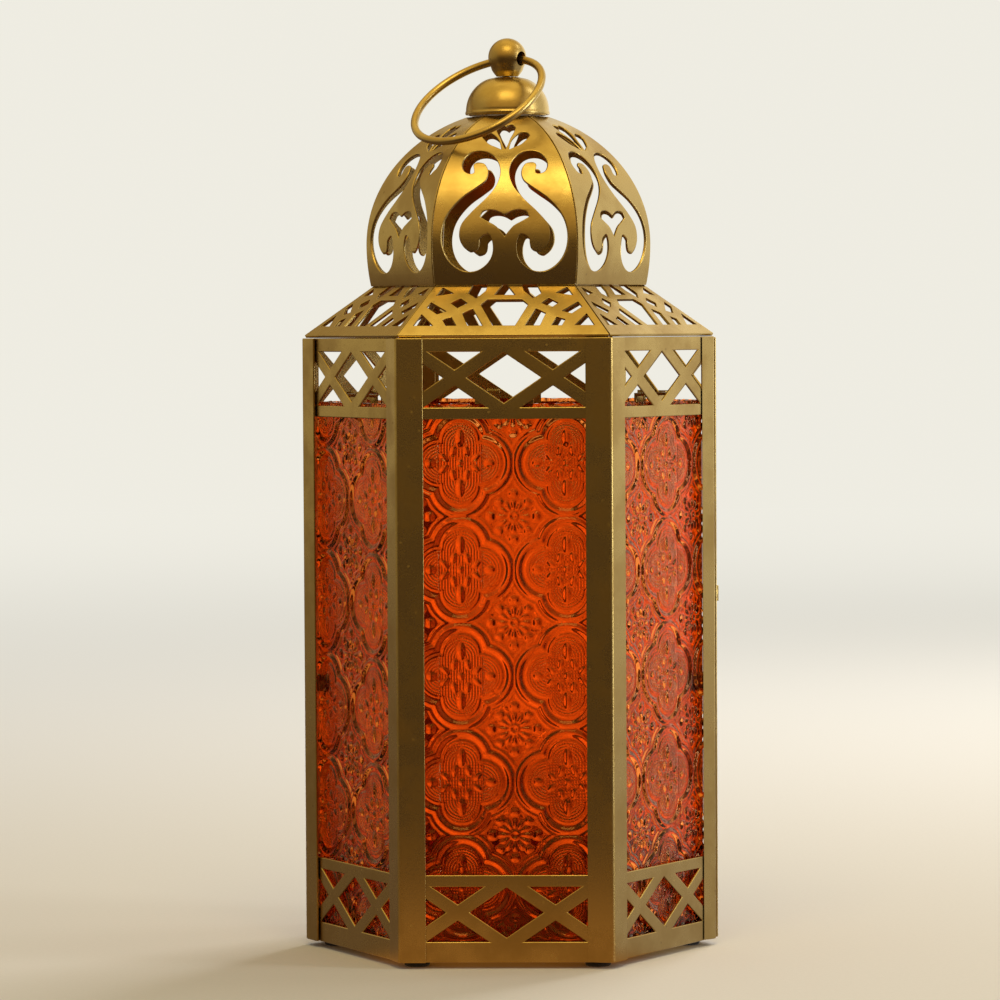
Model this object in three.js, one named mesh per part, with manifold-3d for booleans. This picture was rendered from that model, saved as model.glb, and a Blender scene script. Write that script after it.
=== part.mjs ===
import * as THREE from 'three';
import { mergeVertices } from 'three/addons/utils/BufferGeometryUtils.js';
import Module from 'manifold-3d';

// A hexagonal candle lantern of pierced sheet metal with pressed glass panes.
// Millimetres, +Z up, origin under the middle of the base, where the feet stand.
// The front face looks along -Y. Corners lie at 0, 60, ... 300 degrees from +X.
const degrees = Math.PI / 180;
const faceCount = 6;
const faceAngle = 360 / faceCount * degrees;
const halfAngle = faceAngle / 2;

const wasm = await Module();
wasm.setup();

// Sheet metal and clearances
const sheet = 0.8;
const gap = 0.3;

// Body
const bodyAcross = 133.4;
const bodyHeight = 193.8;
const flangeWidth = 8.3;
const bendRadius = 1;
const footHeight = 2.1;
const footRadius = 4;
const footChamfer = 0.4;
const footInset = 10.2;
const floorRise = 0.4;

// Pierced bands above and below the glass
const bottomRail = 6.4;
const fretHeight = 17.15;
const bandRail = 3.65;
const topRail = 4.3;
const fretSideMargin = 1.4;
const fretOpeningMargin = 7.15;
const crossPitch = 30.4;
const crossDrop = 8;
const barSlope = 0.68;
const barThickness = 5;

// Glass panes
const paneMargin = 5.35;
const paneThickness = 2.8;
const paneRise = 2.8;
const rimHeight = 6;
const tabWidth = 4.5;
const tabReach = 5;
const sideTabHeight = 5.5;
const sideTabMiddle = 83;

// Pressed relief of the panes: in each square of a lattice a ridge runs round a motif of four
// round lobes, two towards the sides and two up and down. A lobe's middle lies at its reach.
const motifPitch = 33;
const reliefHeight = 0.8;
const ridgeHalfWidth = 0.95;
const sideLobe = { reach: 6.2, radius: 9 };
const endLobe = { reach: 7.2, radius: 8.1 };
const lobeSteps = 3;
// The middle of one motif on each face, across and up
const motifPlaces = {
  front: [-13.8, 25], front_right: [5.6, 23.5], rear_right: [3, 20],
  rear: [-8, 13], rear_left: [12, 26], front_left: [11.2, 12.9],
};

// Door on the rear right face, hinged at the 60 degree corner
const doorFreeEdge = 0.3;
const doorHingeEdge = 0.65;
const doorClearance = 0.3;
const stopFlange = 2.75;
const hingeHeight = 16;
const hingeLeafWidth = 7.5;
const outerKnuckleShare = 0.3;
const lowerHingeRise = 38;
const upperHingeDrop = 45.8;
const pinRadius = 0.5;
const pinPlay = 0.25;
const knuckleWall = 0.4;
const pinHeadRadius = 1;
const pinHeadHeight = 0.6;

// Turn latch near the free edge of the door
const latchInset = 4.75;
const latchHeight = 111;
const knobRadius = 2.8;
const knobThickness = 1.2;
const thumbHeight = 1.4;
const thumbWidth = 1.1;
const spindleRadius = 0.7;
const spindleHeadRadius = 1.2;
const spindleHeadHeight = 0.5;
const camThickness = 1;
const camHalfWidth = 1.5;
const camReach = 3.15;
const camToPane = 0.4;

// Candle cup
const cupRadius = 21;
const cupHeight = 14;
const cupLip = 0.6;

// Roof of six pierced plates
const eaveInset = 0.75;
const roofRise = 15.1;
const roofOverlap = 3;

// Dome of six bowed gores
const domeFootRadius = 38.4;
const domeSwell = 1.23;
const domeWaistRise = 13.4;
const domeHeight = 54.2;
const crownLap = 1.05;

// Cap, finial and ring
const crownThickness = 1;
const capRadius = 13.55;
const capHeight = 12;
const capBand = 0.9;
const capLift = 0.3;
const capFlat = 6.4;
const capShoulder = 48;
const neckRadius = 3.65;
const neckStep = 0.8;
const neckHeight = 3.1;
const ballRadius = 6.1;
const screwRadius = 1.5;
const screwHeadRadius = 3.2;
const screwHeadHeight = 1.5;
const screwGrip = 2.4;
const ringRadius = 21.9;
const wireRadius = 1.25;
const ringLoose = 0.62;
const ringSettle = 0.4;
const ringSlide = 1;
const ringHoleDrop = 0.6;
const ringAzimuth = -36;
const ringTilt = 38.3;

// Sizes that follow from the ones above
const cornerRadius = bodyAcross / 2;
const apothem = cornerRadius * Math.cos(halfAngle);
const halfFace = cornerRadius * Math.sin(halfAngle);
const panelDepth = sheet + gap;
const paneDepth = panelDepth + sheet + gap;
const tabDepth = paneDepth + paneThickness + gap;
const postFoot = footHeight + gap - floorRise;
const floorTop = postFoot + floorRise + sheet;
const fretTop = postFoot + bodyHeight;
const topBandFoot = fretTop - topRail - fretHeight - bandRail;
const paneFoot = floorTop + gap;
const paneTop = topBandFoot + bandRail + paneRise;
const paneHalf = halfFace - paneMargin;
const doorPaneHalf = halfFace - latchInset - camHalfWidth - camToPane;
const fretOpeningHalf = halfFace - fretOpeningMargin;
const boreRadius = pinRadius + pinPlay;
const knuckleRadius = boreRadius + knuckleWall;
const roofApothem = apothem - eaveInset;
const eaveHeight = fretTop + gap;
const roofRun = roofApothem - domeFootRadius;
const roofSlope = Math.atan2(roofRise, roofRun);
const roofFoot = eaveHeight + sheet * Math.cos(roofSlope);
const domeFoot = roofFoot + roofRise + gap / Math.cos(roofSlope);
const domeTop = domeFoot + domeHeight;
const waistHeight = domeFoot + domeWaistRise;
const domeWaistRadius = domeFootRadius + domeSwell;
const crownRadius = capRadius - sheet - gap;
const domeTopRadius = crownRadius - crownLap;
const crownFoot = domeTop + gap;
const capFoot = crownFoot + capLift;
const capTop = capFoot + capHeight;
const ballFoot = capTop + gap;
const neckTopRadius = ballRadius - neckStep;
const ballMiddle = ballFoot + neckHeight + Math.sqrt(ballRadius ** 2 - neckTopRadius ** 2);
const screwTop = ballFoot + screwGrip;
// The ring's wire curves by this much along the hole, so the hole is wider by half of it.
const ringSag = ballRadius ** 2 / (2 * ringRadius);
const ringHoleRadius = wireRadius + ringSag / 2 + ringLoose;

const gold = { color: 0xb8933f, roughness: 0.42, metalness: 0.85 };
const amber = { color: 0xc4460e, roughness: 0.15, metalness: 0 };
const rubber = { color: 0x1d1a18, roughness: 0.9, metalness: 0 };
const steel = { color: 0x8d8577, roughness: 0.4, metalness: 0.9 };

const lantern = new THREE.Group();

function addPiece(parent, name, geometry, finish) {
  const mesh = new THREE.Mesh(geometry, new THREE.MeshStandardMaterial(finish));
  mesh.name = name;
  parent.add(mesh);
  return mesh;
}

// Solids
function toSolid(geometry) {
  const bare = geometry.clone();
  bare.deleteAttribute('normal');
  bare.deleteAttribute('uv');
  const merged = mergeVertices(bare, 1e-5);
  const vertProperties = new Float32Array(merged.attributes.position.array);
  const triVerts = new Uint32Array(merged.index.array);
  return new wasm.Manifold(new wasm.Mesh({ numProp: 3, vertProperties, triVerts }));
}

function toGeometry(solid) {
  const mesh = solid.getMesh();
  const geometry = new THREE.BufferGeometry();
  geometry.setAttribute('position', new THREE.BufferAttribute(new Float32Array(mesh.vertProperties), 3));
  geometry.setIndex(Array.from(mesh.triVerts));
  geometry.computeVertexNormals();
  return geometry;
}

function join(...geometries) {
  return toGeometry(geometries.map(toSolid).reduce((sum, solid) => sum.add(solid)));
}

function cut(geometry, ...tools) {
  return toGeometry(tools.map(toSolid).reduce((rest, solid) => rest.subtract(solid), toSolid(geometry)));
}

function keepWithin(geometry, bounds) {
  return toGeometry(toSolid(geometry).intersect(toSolid(bounds)));
}

function box(low, high) {
  const size = high.map((value, i) => value - low[i]);
  const geometry = new THREE.BoxGeometry(...size);
  return geometry.translate(...low.map((value, i) => value + size[i] / 2));
}

function polygon(points) {
  return new THREE.Shape(points.map(([x, y]) => new THREE.Vector2(x, y)));
}

// A face's own frame: +X along the face, -Y outwards, +Z up. A shape drawn in X and Z
// becomes a plate whose outer side lies at the given depth behind the body's face.
function facePlate(shape, depth, thickness, curveSegments = 4) {
  const geometry = new THREE.ExtrudeGeometry(shape, { depth: thickness, bevelEnabled: false, curveSegments });
  return geometry.rotateX(90 * degrees).translate(0, depth + thickness - apothem, 0);
}

// A profile drawn in depth and height, drawn out along the face about the place given.
function faceProfile(points, middle, width) {
  const shape = polygon(points.map(([depth, height]) => [depth - apothem, height]));
  const geometry = new THREE.ExtrudeGeometry(shape, { depth: width, bevelEnabled: false });
  const turn = new THREE.Matrix4().makeBasis(
    new THREE.Vector3(0, 1, 0), new THREE.Vector3(0, 0, 1), new THREE.Vector3(1, 0, 0));
  return geometry.applyMatrix4(turn).translate(middle - width / 2, 0, 0);
}

// A plan drawn in X and Y, drawn up between two heights.
function upright(shape, low, high, curveSegments = 4) {
  const geometry = new THREE.ExtrudeGeometry(shape, { depth: high - low, bevelEnabled: false, curveSegments });
  return geometry.translate(0, 0, low);
}

function turned(points, segments) {
  return new THREE.LatheGeometry(points.map(([r, y]) => new THREE.Vector2(r, y)), segments);
}

// A turned piece that stands on Z.
function turnedUpright(points, segments) {
  return turned(points, segments).rotateX(90 * degrees);
}

function hexagon(flatRadius) {
  const radius = flatRadius / Math.cos(halfAngle);
  const angles = Array.from({ length: faceCount }, (_, i) => i * faceAngle);
  return polygon(angles.map(angle => [radius * Math.cos(angle), radius * Math.sin(angle)]));
}

const faceNames = ['rear_right', 'rear', 'rear_left', 'front_left', 'front', 'front_right'];
const doorFace = 'rear_right';
const faces = faceNames.map((name, i) => {
  const group = new THREE.Group();
  group.rotation.z = halfAngle + faceAngle * i + 90 * degrees;
  lantern.add(group);
  return { name, group };
});

// Corners: +X outwards. Side 1 is the face counter-clockwise of the corner, side -1 the other.
const cornerNames = ['corner_0', 'corner_60', 'corner_120', 'corner_180', 'corner_240', 'corner_300'];
const corners = cornerNames.map((name, index) => {
  const group = new THREE.Group();
  group.rotation.z = faceAngle * index;
  lantern.add(group);
  return { name, index, group };
});

function cornerPoint(side, along, depth) {
  const x = cornerRadius - along * Math.sin(halfAngle) - depth * Math.cos(halfAngle);
  const y = side * (along * Math.cos(halfAngle) - depth * Math.sin(halfAngle));
  return [x, y];
}

// Where two lines meet that lie at given depths behind the two faces of a corner.
function bendPoint(depthMinus, depthPlus) {
  const along = (depthMinus - depthPlus * Math.sin(halfAngle)) / Math.cos(halfAngle);
  return cornerPoint(1, along, depthPlus);
}

// Feet, floor and candle cup
const outlineFoot = [
  [0, 0], [footRadius - footChamfer, 0], [footRadius, footChamfer], [footRadius, footHeight], [0, footHeight]];
for (const corner of corners) {
  const foot = addPiece(corner.group, `foot_${corner.name}`, turnedUpright(outlineFoot, 20), rubber);
  foot.position.x = cornerRadius - footInset;
}

const floorPlate = upright(hexagon(apothem - paneDepth), floorTop - sheet, floorTop);
const rimPlan = hexagon(apothem - tabDepth);
rimPlan.holes.push(hexagon(apothem - tabDepth - sheet));
addPiece(lantern, 'base_tray', join(floorPlate, upright(rimPlan, floorTop - sheet / 2, floorTop + rimHeight)), gold);

const cupProfile = [
  [0, 0], [cupRadius, 0], [cupRadius, cupHeight - cupLip], [cupRadius + cupLip, cupHeight],
  [cupRadius - sheet, cupHeight], [cupRadius - sheet, sheet], [0, sheet]];
addPiece(lantern, 'candle_cup', turnedUpright(cupProfile, 36), gold).position.z = floorTop + gap;

// Corner posts: bent angles that lap over the bands. The two beside the door have a short
// flange set in behind the door, which the door closes against.
function postPlan(minus, plus) {
  const outer = bendRadius + sheet;
  const centre = bendPoint(minus.depth + outer, plus.depth + outer);
  const shape = new THREE.Shape();
  shape.moveTo(...cornerPoint(-1, minus.width, minus.depth));
  shape.absarc(...centre, outer, -halfAngle, halfAngle, false);
  shape.lineTo(...cornerPoint(1, plus.width, plus.depth));
  shape.lineTo(...cornerPoint(1, plus.width, plus.depth + sheet));
  shape.absarc(...centre, bendRadius, halfAngle, -halfAngle, true);
  shape.lineTo(...cornerPoint(-1, minus.width, minus.depth + sheet));
  shape.closePath();
  return shape;
}

// A bent tab that reaches round the edge of a pane and over its back.
function sideTab(side) {
  const root = halfFace - paneHalf - gap - sheet;
  const tip = root + sheet + gap + tabReach;
  const points = [
    [root, sheet / 2], [root + sheet, sheet / 2], [root + sheet, tabDepth], [tip, tabDepth],
    [tip, tabDepth + sheet], [root, tabDepth + sheet]];
  const plan = polygon(points.map(([along, depth]) => cornerPoint(side, along, depth)));
  const low = postFoot + sideTabMiddle - sideTabHeight / 2;
  return upright(plan, low, low + sideTabHeight);
}

const wide = { depth: 0, width: flangeWidth };
const stop = { depth: panelDepth, width: stopFlange };
const tabSides = [[-1], [], [1, -1], [1], [], []];
for (const corner of corners) {
  const doorOnPlus = corner.index === 0;
  const doorOnMinus = corner.index === 1;
  const plan = postPlan(doorOnMinus ? stop : wide, doorOnPlus ? stop : wide);
  const strip = upright(plan, postFoot, fretTop, 3);
  const tabs = tabSides[corner.index].map(sideTab);
  addPiece(corner.group, `post_${corner.name}`, join(strip, ...tabs), gold);
}

// Pierced bands: two crosses side by side between rails
function triangle(tip, base, middle, half) {
  return polygon([[middle, tip], [middle - half, base], [middle + half, base]]);
}

// The top or bottom of the middle opening: a point, or a flat where a rail cuts it off.
function diamondEnd(reach, crossing, rail) {
  const rise = Math.abs(rail - crossing);
  const direction = Math.sign(rail - crossing);
  const flat = reach - rise / barSlope;
  if (flat <= 0) {
    return [[0, crossing + direction * reach * barSlope]];
  }
  return [[direction * flat, rail], [-direction * flat, rail]];
}

function bandOpenings(low, high, halfWidth) {
  const crossing = high - crossDrop;
  const half = barThickness / 2;
  const run = half / barSlope;
  const middle = crossPitch / 2;
  const reach = middle - run;
  const sideRise = (halfWidth - middle - run) * barSlope;
  const openings = [polygon([
    [-reach, crossing], ...diamondEnd(reach, crossing, low),
    [reach, crossing], ...diamondEnd(reach, crossing, high)])];
  for (const side of [-1, 1]) {
    const x = side * middle;
    openings.push(triangle(crossing + half, high, x, (high - crossing - half) / barSlope));
    openings.push(triangle(crossing - half, low, x, (crossing - low - half) / barSlope));
    const edge = side * halfWidth;
    openings.push(polygon([[x + side * run, crossing], [edge, crossing + sideRise], [edge, crossing - sideRise]]));
  }
  return openings;
}

function rectangle(halfWidth, low, high) {
  return polygon([[-halfWidth, low], [halfWidth, low], [halfWidth, high], [-halfWidth, high]]);
}

// A plate of the sheet metal with openings right through it.
function piercedPlate(shape, openings, depth) {
  const punches = openings.map(opening => facePlate(opening, depth - sheet, 3 * sheet));
  return cut(facePlate(shape, depth, sheet), ...punches);
}

// A bent tab that holds a pane's top or bottom edge.
function edgeTab(edge, direction, backDepth, middle, rootDepth) {
  const near = edge + direction * gap;
  const far = near + direction * sheet;
  const tip = near - direction * tabReach;
  const back = backDepth + gap;
  const points = [
    [rootDepth, near], [rootDepth, far], [back + sheet, far], [back + sheet, tip], [back, tip], [back, near]];
  return faceProfile(direction > 0 ? points.reverse() : points, middle, tabWidth);
}

// The middle of the bars at a height between a crossing and the rail under it.
function barMiddle(height, bandTop) {
  return crossPitch / 2 - (bandTop - crossDrop - height) / barSlope;
}

// Points along a lobe from its first end, without the last end.
function lobeArc(x, z, radius, start, end) {
  return Array.from({ length: lobeSteps }, (_, i) => {
    const turn = start + (end - start) * i / lobeSteps;
    return [x + radius * Math.cos(turn), z + radius * Math.sin(turn)];
  });
}

// A motif's outline moved outwards by an offset, counter-clockwise.
function motifOutline(offset) {
  const side = sideLobe.radius + offset;
  const end = endLobe.radius + offset;
  const span = Math.hypot(sideLobe.reach, endLobe.reach);
  const spread = Math.acos((side ** 2 + span ** 2 - end ** 2) / (2 * side * span));
  const sideTurn = Math.atan2(endLobe.reach, -sideLobe.reach) - spread;
  const cusp = [sideLobe.reach + side * Math.cos(sideTurn), side * Math.sin(sideTurn)];
  const endTurn = Math.atan2(cusp[1] - endLobe.reach, cusp[0]);
  const half = [
    ...lobeArc(sideLobe.reach, 0, side, -sideTurn, sideTurn),
    ...lobeArc(0, endLobe.reach, end, endTurn, 180 * degrees - endTurn)];
  return [...half, ...half.map(([x, z]) => [-x, -z])];
}

// The ridge round a motif: its crest at the given depth, its two feet on the glass, its root inside.
function motifRidge(x, z, crestDepth) {
  const footDepth = crestDepth + reliefHeight;
  const section = [
    [ridgeHalfWidth, footDepth], [0, crestDepth], [-ridgeHalfWidth, footDepth],
    [-ridgeHalfWidth, footDepth + gap], [ridgeHalfWidth, footDepth + gap]];
  const lines = section.map(([offset, depth]) => motifOutline(offset).map(
    ([u, v]) => [x + u, depth - apothem, z + v]));
  const count = lines[0].length;
  const index = [];
  for (let side = 0; side < section.length; side += 1) {
    const here = side * count;
    const next = (side + 1) % section.length * count;
    for (let i = 0; i < count; i += 1) {
      const j = (i + 1) % count;
      index.push(here + i, here + j, next + j, here + i, next + j, next + i);
    }
  }
  const geometry = new THREE.BufferGeometry();
  geometry.setAttribute('position', new THREE.Float32BufferAttribute(lines.flat(2), 3));
  geometry.setIndex(index);
  return geometry;
}

// The middles of the motifs that reach a stretch of the pane.
function motifMiddles(low, high, place) {
  const first = Math.ceil((low - place) / motifPitch - 0.5);
  const last = Math.floor((high - place) / motifPitch + 0.5);
  return Array.from({ length: last - first + 1 }, (_, i) => place + (first + i) * motifPitch);
}

// A pressed pane: its back is flat and its ridges reach the outer side's depth.
function pane(half, foot, top, depth, place) {
  const back = depth + paneThickness - apothem;
  const slab = box([-half, depth + reliefHeight - apothem, foot], [half, back, top]);
  const bounds = box([-half, depth - gap - apothem, foot], [half, back, top]);
  const ridges = motifMiddles(-half, half, place[0]).flatMap(
    x => motifMiddles(foot, top, place[1]).map(z => motifRidge(x, z, depth)));
  return join(slab, keepWithin(join(...ridges), bounds));
}

const fretHalf = (apothem - panelDepth - sheet) * Math.tan(halfAngle) - fretSideMargin;
const bottomBandTop = postFoot + bottomRail + fretHeight + bandRail;
const topBandTop = fretTop - topRail;
const topTabMiddle = barMiddle(paneTop + gap + sheet / 2, topBandTop);

function fixedFace(face) {
  const topOpenings = bandOpenings(topBandFoot + bandRail, topBandTop, fretOpeningHalf);
  const topPlate = piercedPlate(rectangle(fretHalf, topBandFoot, fretTop), topOpenings, panelDepth);
  const tabs = [-1, 1].map(side => edgeTab(
    paneTop, 1, paneDepth + paneThickness, side * topTabMiddle, panelDepth + sheet / 2));
  addPiece(face.group, `top_fret_${face.name}`, join(topPlate, ...tabs), gold);

  const bottomOpenings = bandOpenings(postFoot + bottomRail, bottomBandTop - bandRail, fretOpeningHalf);
  const bottomPlate = piercedPlate(rectangle(fretHalf, postFoot, bottomBandTop), bottomOpenings, panelDepth);
  addPiece(face.group, `bottom_fret_${face.name}`, bottomPlate, gold);

  const glass = pane(paneHalf, paneFoot, paneTop, paneDepth, motifPlaces[face.name]);
  addPiece(face.group, `glass_pane_${face.name}`, glass, amber);
}

// Door: one pierced frame that closes over the two stop flanges
const doorWindowHalf = halfFace - flangeWidth;
const doorPaneDepth = sheet + gap;
const doorTabDepth = doorPaneDepth + paneThickness;
const doorPaneFoot = floorTop + 2 * gap + sheet;
const latchX = latchInset - halfFace;
const latchZ = postFoot + latchHeight;

function doorSideTab(side) {
  const root = side * (doorPaneHalf + gap);
  const points = [
    [root, sheet / 2], [root + side * sheet, sheet / 2], [root + side * sheet, doorTabDepth + gap + sheet],
    [root - side * tabReach, doorTabDepth + gap + sheet], [root - side * tabReach, doorTabDepth + gap],
    [root, doorTabDepth + gap]];
  const plan = polygon(points.map(([x, depth]) => [x, depth - apothem]));
  const low = postFoot + sideTabMiddle - sideTabHeight / 2;
  return upright(plan, low, low + sideTabHeight);
}

function door(face) {
  const low = postFoot + doorClearance;
  const high = fretTop - doorClearance;
  const shape = polygon([
    [doorFreeEdge - halfFace, low], [halfFace - doorHingeEdge, low],
    [halfFace - doorHingeEdge, high], [doorFreeEdge - halfFace, high]]);
  const spindleHole = new THREE.Shape();
  spindleHole.absarc(latchX, latchZ, spindleRadius + gap, 0, 360 * degrees);
  const openings = [
    ...bandOpenings(postFoot + bottomRail, bottomBandTop - bandRail, doorWindowHalf),
    rectangle(doorWindowHalf, bottomBandTop, topBandFoot),
    ...bandOpenings(topBandFoot + bandRail, topBandTop, doorWindowHalf),
    spindleHole];
  const bottomTabMiddle = crossPitch / 2;
  const tabs = [-1, 1].flatMap(side => [
    edgeTab(paneTop, 1, doorTabDepth, side * topTabMiddle, sheet / 2),
    edgeTab(doorPaneFoot, -1, doorTabDepth, side * bottomTabMiddle, sheet / 2),
    doorSideTab(side)]);
  addPiece(face.group, 'door_frame', join(piercedPlate(shape, openings, 0), ...tabs), gold);

  const glass = pane(doorPaneHalf, doorPaneFoot, paneTop, doorPaneDepth, motifPlaces[face.name]);
  addPiece(face.group, 'glass_pane_door', glass, amber);
  latch(face);
}

// Turn latch: a thumb piece outside, a spindle through the frame and a cam behind the stop flange
function latch(face) {
  const camDepth = panelDepth + sheet + gap;
  const headDepth = camDepth + camThickness + gap;
  const profile = [
    [0, -gap - knobThickness], [knobRadius - gap, -gap - knobThickness], [knobRadius, -gap - knobThickness + gap],
    [knobRadius, -gap], [spindleRadius, -gap], [spindleRadius, headDepth], [spindleHeadRadius, headDepth],
    [spindleHeadRadius, headDepth + spindleHeadHeight], [0, headDepth + spindleHeadHeight]];
  const thumb = box(
    [-thumbWidth / 2, -gap - knobThickness - thumbHeight, gap - knobRadius],
    [thumbWidth / 2, -gap - knobThickness / 2, knobRadius - gap]);
  const knob = join(turned(profile, 16), thumb).translate(latchX, -apothem, latchZ);
  addPiece(face.group, 'latch_knob', knob, gold);

  const shape = new THREE.Shape();
  shape.absarc(0, 0, camHalfWidth, 180 * degrees, 360 * degrees, false);
  shape.lineTo(camHalfWidth, camReach - camHalfWidth / 2);
  shape.lineTo(camHalfWidth / 2, camReach);
  shape.lineTo(-camHalfWidth / 2, camReach);
  shape.lineTo(-camHalfWidth, camReach - camHalfWidth / 2);
  shape.closePath();
  const hole = new THREE.Path();
  hole.absarc(0, 0, spindleRadius + gap, 0, 360 * degrees);
  shape.holes.push(hole);
  addPiece(face.group, 'latch_cam', facePlate(shape, camDepth, camThickness, 6).translate(latchX, 0, latchZ), gold);
}

// Hinges: a leaf on the door, a leaf on the next face and a pin
const axisDepth = knuckleRadius + gap;
const hingeAxisRadius = cornerRadius + axisDepth / Math.cos(halfAngle);
const hingeAxisAlong = -axisDepth * Math.tan(halfAngle);

function hingeLeaf(side, low, knuckles) {
  const strip = (from, to, bottom, top) => {
    const points = [[from, -gap], [from, -gap - sheet], [to, -gap - sheet], [to, -gap]];
    const plan = polygon(points.map(([along, depth]) => cornerPoint(side, along, depth)));
    return upright(plan, low + bottom, low + top);
  };
  const leafEdge = hingeAxisAlong + knuckleRadius + gap;
  const neckStart = hingeAxisAlong + (knuckleRadius + boreRadius) / 2;
  const pieces = [strip(leafEdge, hingeLeafWidth, 0, hingeHeight)];
  for (const [bottom, top] of knuckles) {
    const ring = new THREE.Shape();
    ring.absarc(hingeAxisRadius, 0, knuckleRadius, 0, 360 * degrees);
    const bore = new THREE.Path();
    bore.absarc(hingeAxisRadius, 0, boreRadius, 0, 360 * degrees);
    ring.holes.push(bore);
    pieces.push(strip(neckStart, leafEdge + sheet, bottom, top), upright(ring, low + bottom, low + top, 8));
  }
  return join(...pieces);
}

function hinges(corner) {
  const outerKnuckle = (hingeHeight - 2 * gap) * outerKnuckleShare;
  const middleKnuckle = [outerKnuckle + gap, hingeHeight - outerKnuckle - gap];
  const outerKnuckles = [[0, outerKnuckle], [hingeHeight - outerKnuckle, hingeHeight]];
  const places = { lower: postFoot + lowerHingeRise, upper: fretTop - upperHingeDrop };
  for (const [place, low] of Object.entries(places)) {
    addPiece(corner.group, `hinge_leaf_door_${place}`, hingeLeaf(-1, low, [middleKnuckle]), gold);
    addPiece(corner.group, `hinge_leaf_post_${place}`, hingeLeaf(1, low, outerKnuckles), gold);
    const headTop = hingeHeight + gap + pinHeadHeight;
    const profile = [
      [0, -gap - pinHeadHeight], [pinHeadRadius, -gap - pinHeadHeight], [pinHeadRadius, -gap], [pinRadius, -gap],
      [pinRadius, hingeHeight + gap], [pinHeadRadius, hingeHeight + gap], [pinHeadRadius, headTop], [0, headTop]];
    const pin = addPiece(corner.group, `hinge_pin_${place}`, turnedUpright(profile, 12), steel);
    pin.position.set(hingeAxisRadius, 0, low);
  }
}

for (const face of faces) {
  if (face.name === doorFace) {
    door(face);
  } else {
    fixedFace(face);
  }
}
hinges(corners[1]);

// The sector of a face: its sides lie half a gap inside the planes through the corners.
function sector(low, high) {
  const reach = cornerRadius + bodyAcross;
  const half = (reach - gap) * Math.tan(halfAngle);
  return upright(polygon([[0, -gap], [-half, -reach], [half, -reach]]), low, high);
}

// Roof plates. The openings are drawn in X and up the slope, one half, on a plate of this size.
const roofDrawing = { halfWidth: 32.9, slope: 23.8 };
const roofMiddleOpenings = [
  [[-3.4, 4.6], [3.4, 4.6], [7.4, 15], [5.4, 17.5], [-5.4, 17.5], [-7.4, 15]],
  [[-3.4, 19.6], [3.4, 19.6], [0.6, 25], [-0.6, 25]]];
const roofSideOpenings = [
  [[8.9, 18], [11.5, 20.5], [9.9, 25], [5.3, 25], [6, 21.8]],
  [[15.7, 20.5], [21.4, 19.3], [19.4, 23.6]],
  [[14.6, 13.3], [16.8, 15.7], [13.7, 18.2], [11.4, 15.7]],
  [[20.9, 10.3], [24.2, 13.7], [22.9, 16.3], [17.8, 11.7]],
  [[21.8, 4.6], [28.2, 4.6], [25.6, 10.4]],
  [[14.6, 4.6], [18, 4.6], [19.1, 7.6], [16.3, 8.9]],
  [[6.5, 4.6], [11.2, 4.6], [13, 10.7], [9.8, 13]]];

function roofPlate() {
  const slopeLength = Math.hypot(roofRun, roofRise);
  const top = slopeLength + roofOverlap;
  const wide = roofApothem * Math.tan(halfAngle) / roofDrawing.halfWidth;
  const tall = slopeLength / roofDrawing.slope;
  const place = (points, side) => polygon(points.map(([x, y]) => [side * x * wide, y * tall]));
  const openings = roofMiddleOpenings.map(points => place(points, 1));
  for (const side of [-1, 1]) {
    openings.push(...roofSideOpenings.map(points => place(points, side)));
  }
  const slab = (outline, low, thickness) => {
    const geometry = new THREE.ExtrudeGeometry(outline, { depth: thickness, bevelEnabled: false });
    return geometry.translate(0, 0, low).rotateX(roofSlope).translate(0, -roofApothem, roofFoot);
  };
  const plate = slab(rectangle(cornerRadius, 0, top), -sheet, sheet);
  const punches = openings.map(outline => slab(outline, -2 * sheet, 3 * sheet));
  return keepWithin(cut(plate, ...punches), sector(0, domeTop));
}

// Dome gores. The section is two arcs that meet upright at the waist.
function bowRadius(reach, rise) {
  return (reach ** 2 + rise ** 2) / (2 * reach);
}

const footBow = bowRadius(domeSwell, domeWaistRise);
const domeBow = bowRadius(domeWaistRadius - domeTopRadius, domeHeight - domeWaistRise);

function domeArc(rise, inset) {
  const bow = rise < 0 ? footBow : domeBow;
  const angle = Math.asin(rise / bow);
  const centre = domeWaistRadius - bow;
  return [centre + (bow - inset) * Math.cos(angle), waistHeight + (bow - inset) * Math.sin(angle)];
}

// Heights above the waist at which the gore's facets meet, closer together towards the top.
function goreRises() {
  const topAngle = Math.asin((domeHeight - domeWaistRise) / domeBow);
  const rises = [-domeWaistRise, -domeWaistRise / 2];
  const steps = 10;
  for (let i = 0; i <= steps; i += 1) {
    rises.push(domeBow * Math.sin(topAngle * i / steps));
  }
  return rises;
}

// Scroll openings, drawn in X and height above the dome's foot on a gore of this size.
const goreDrawing = { halfWidth: 22.9, height: 54.4 };
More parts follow.
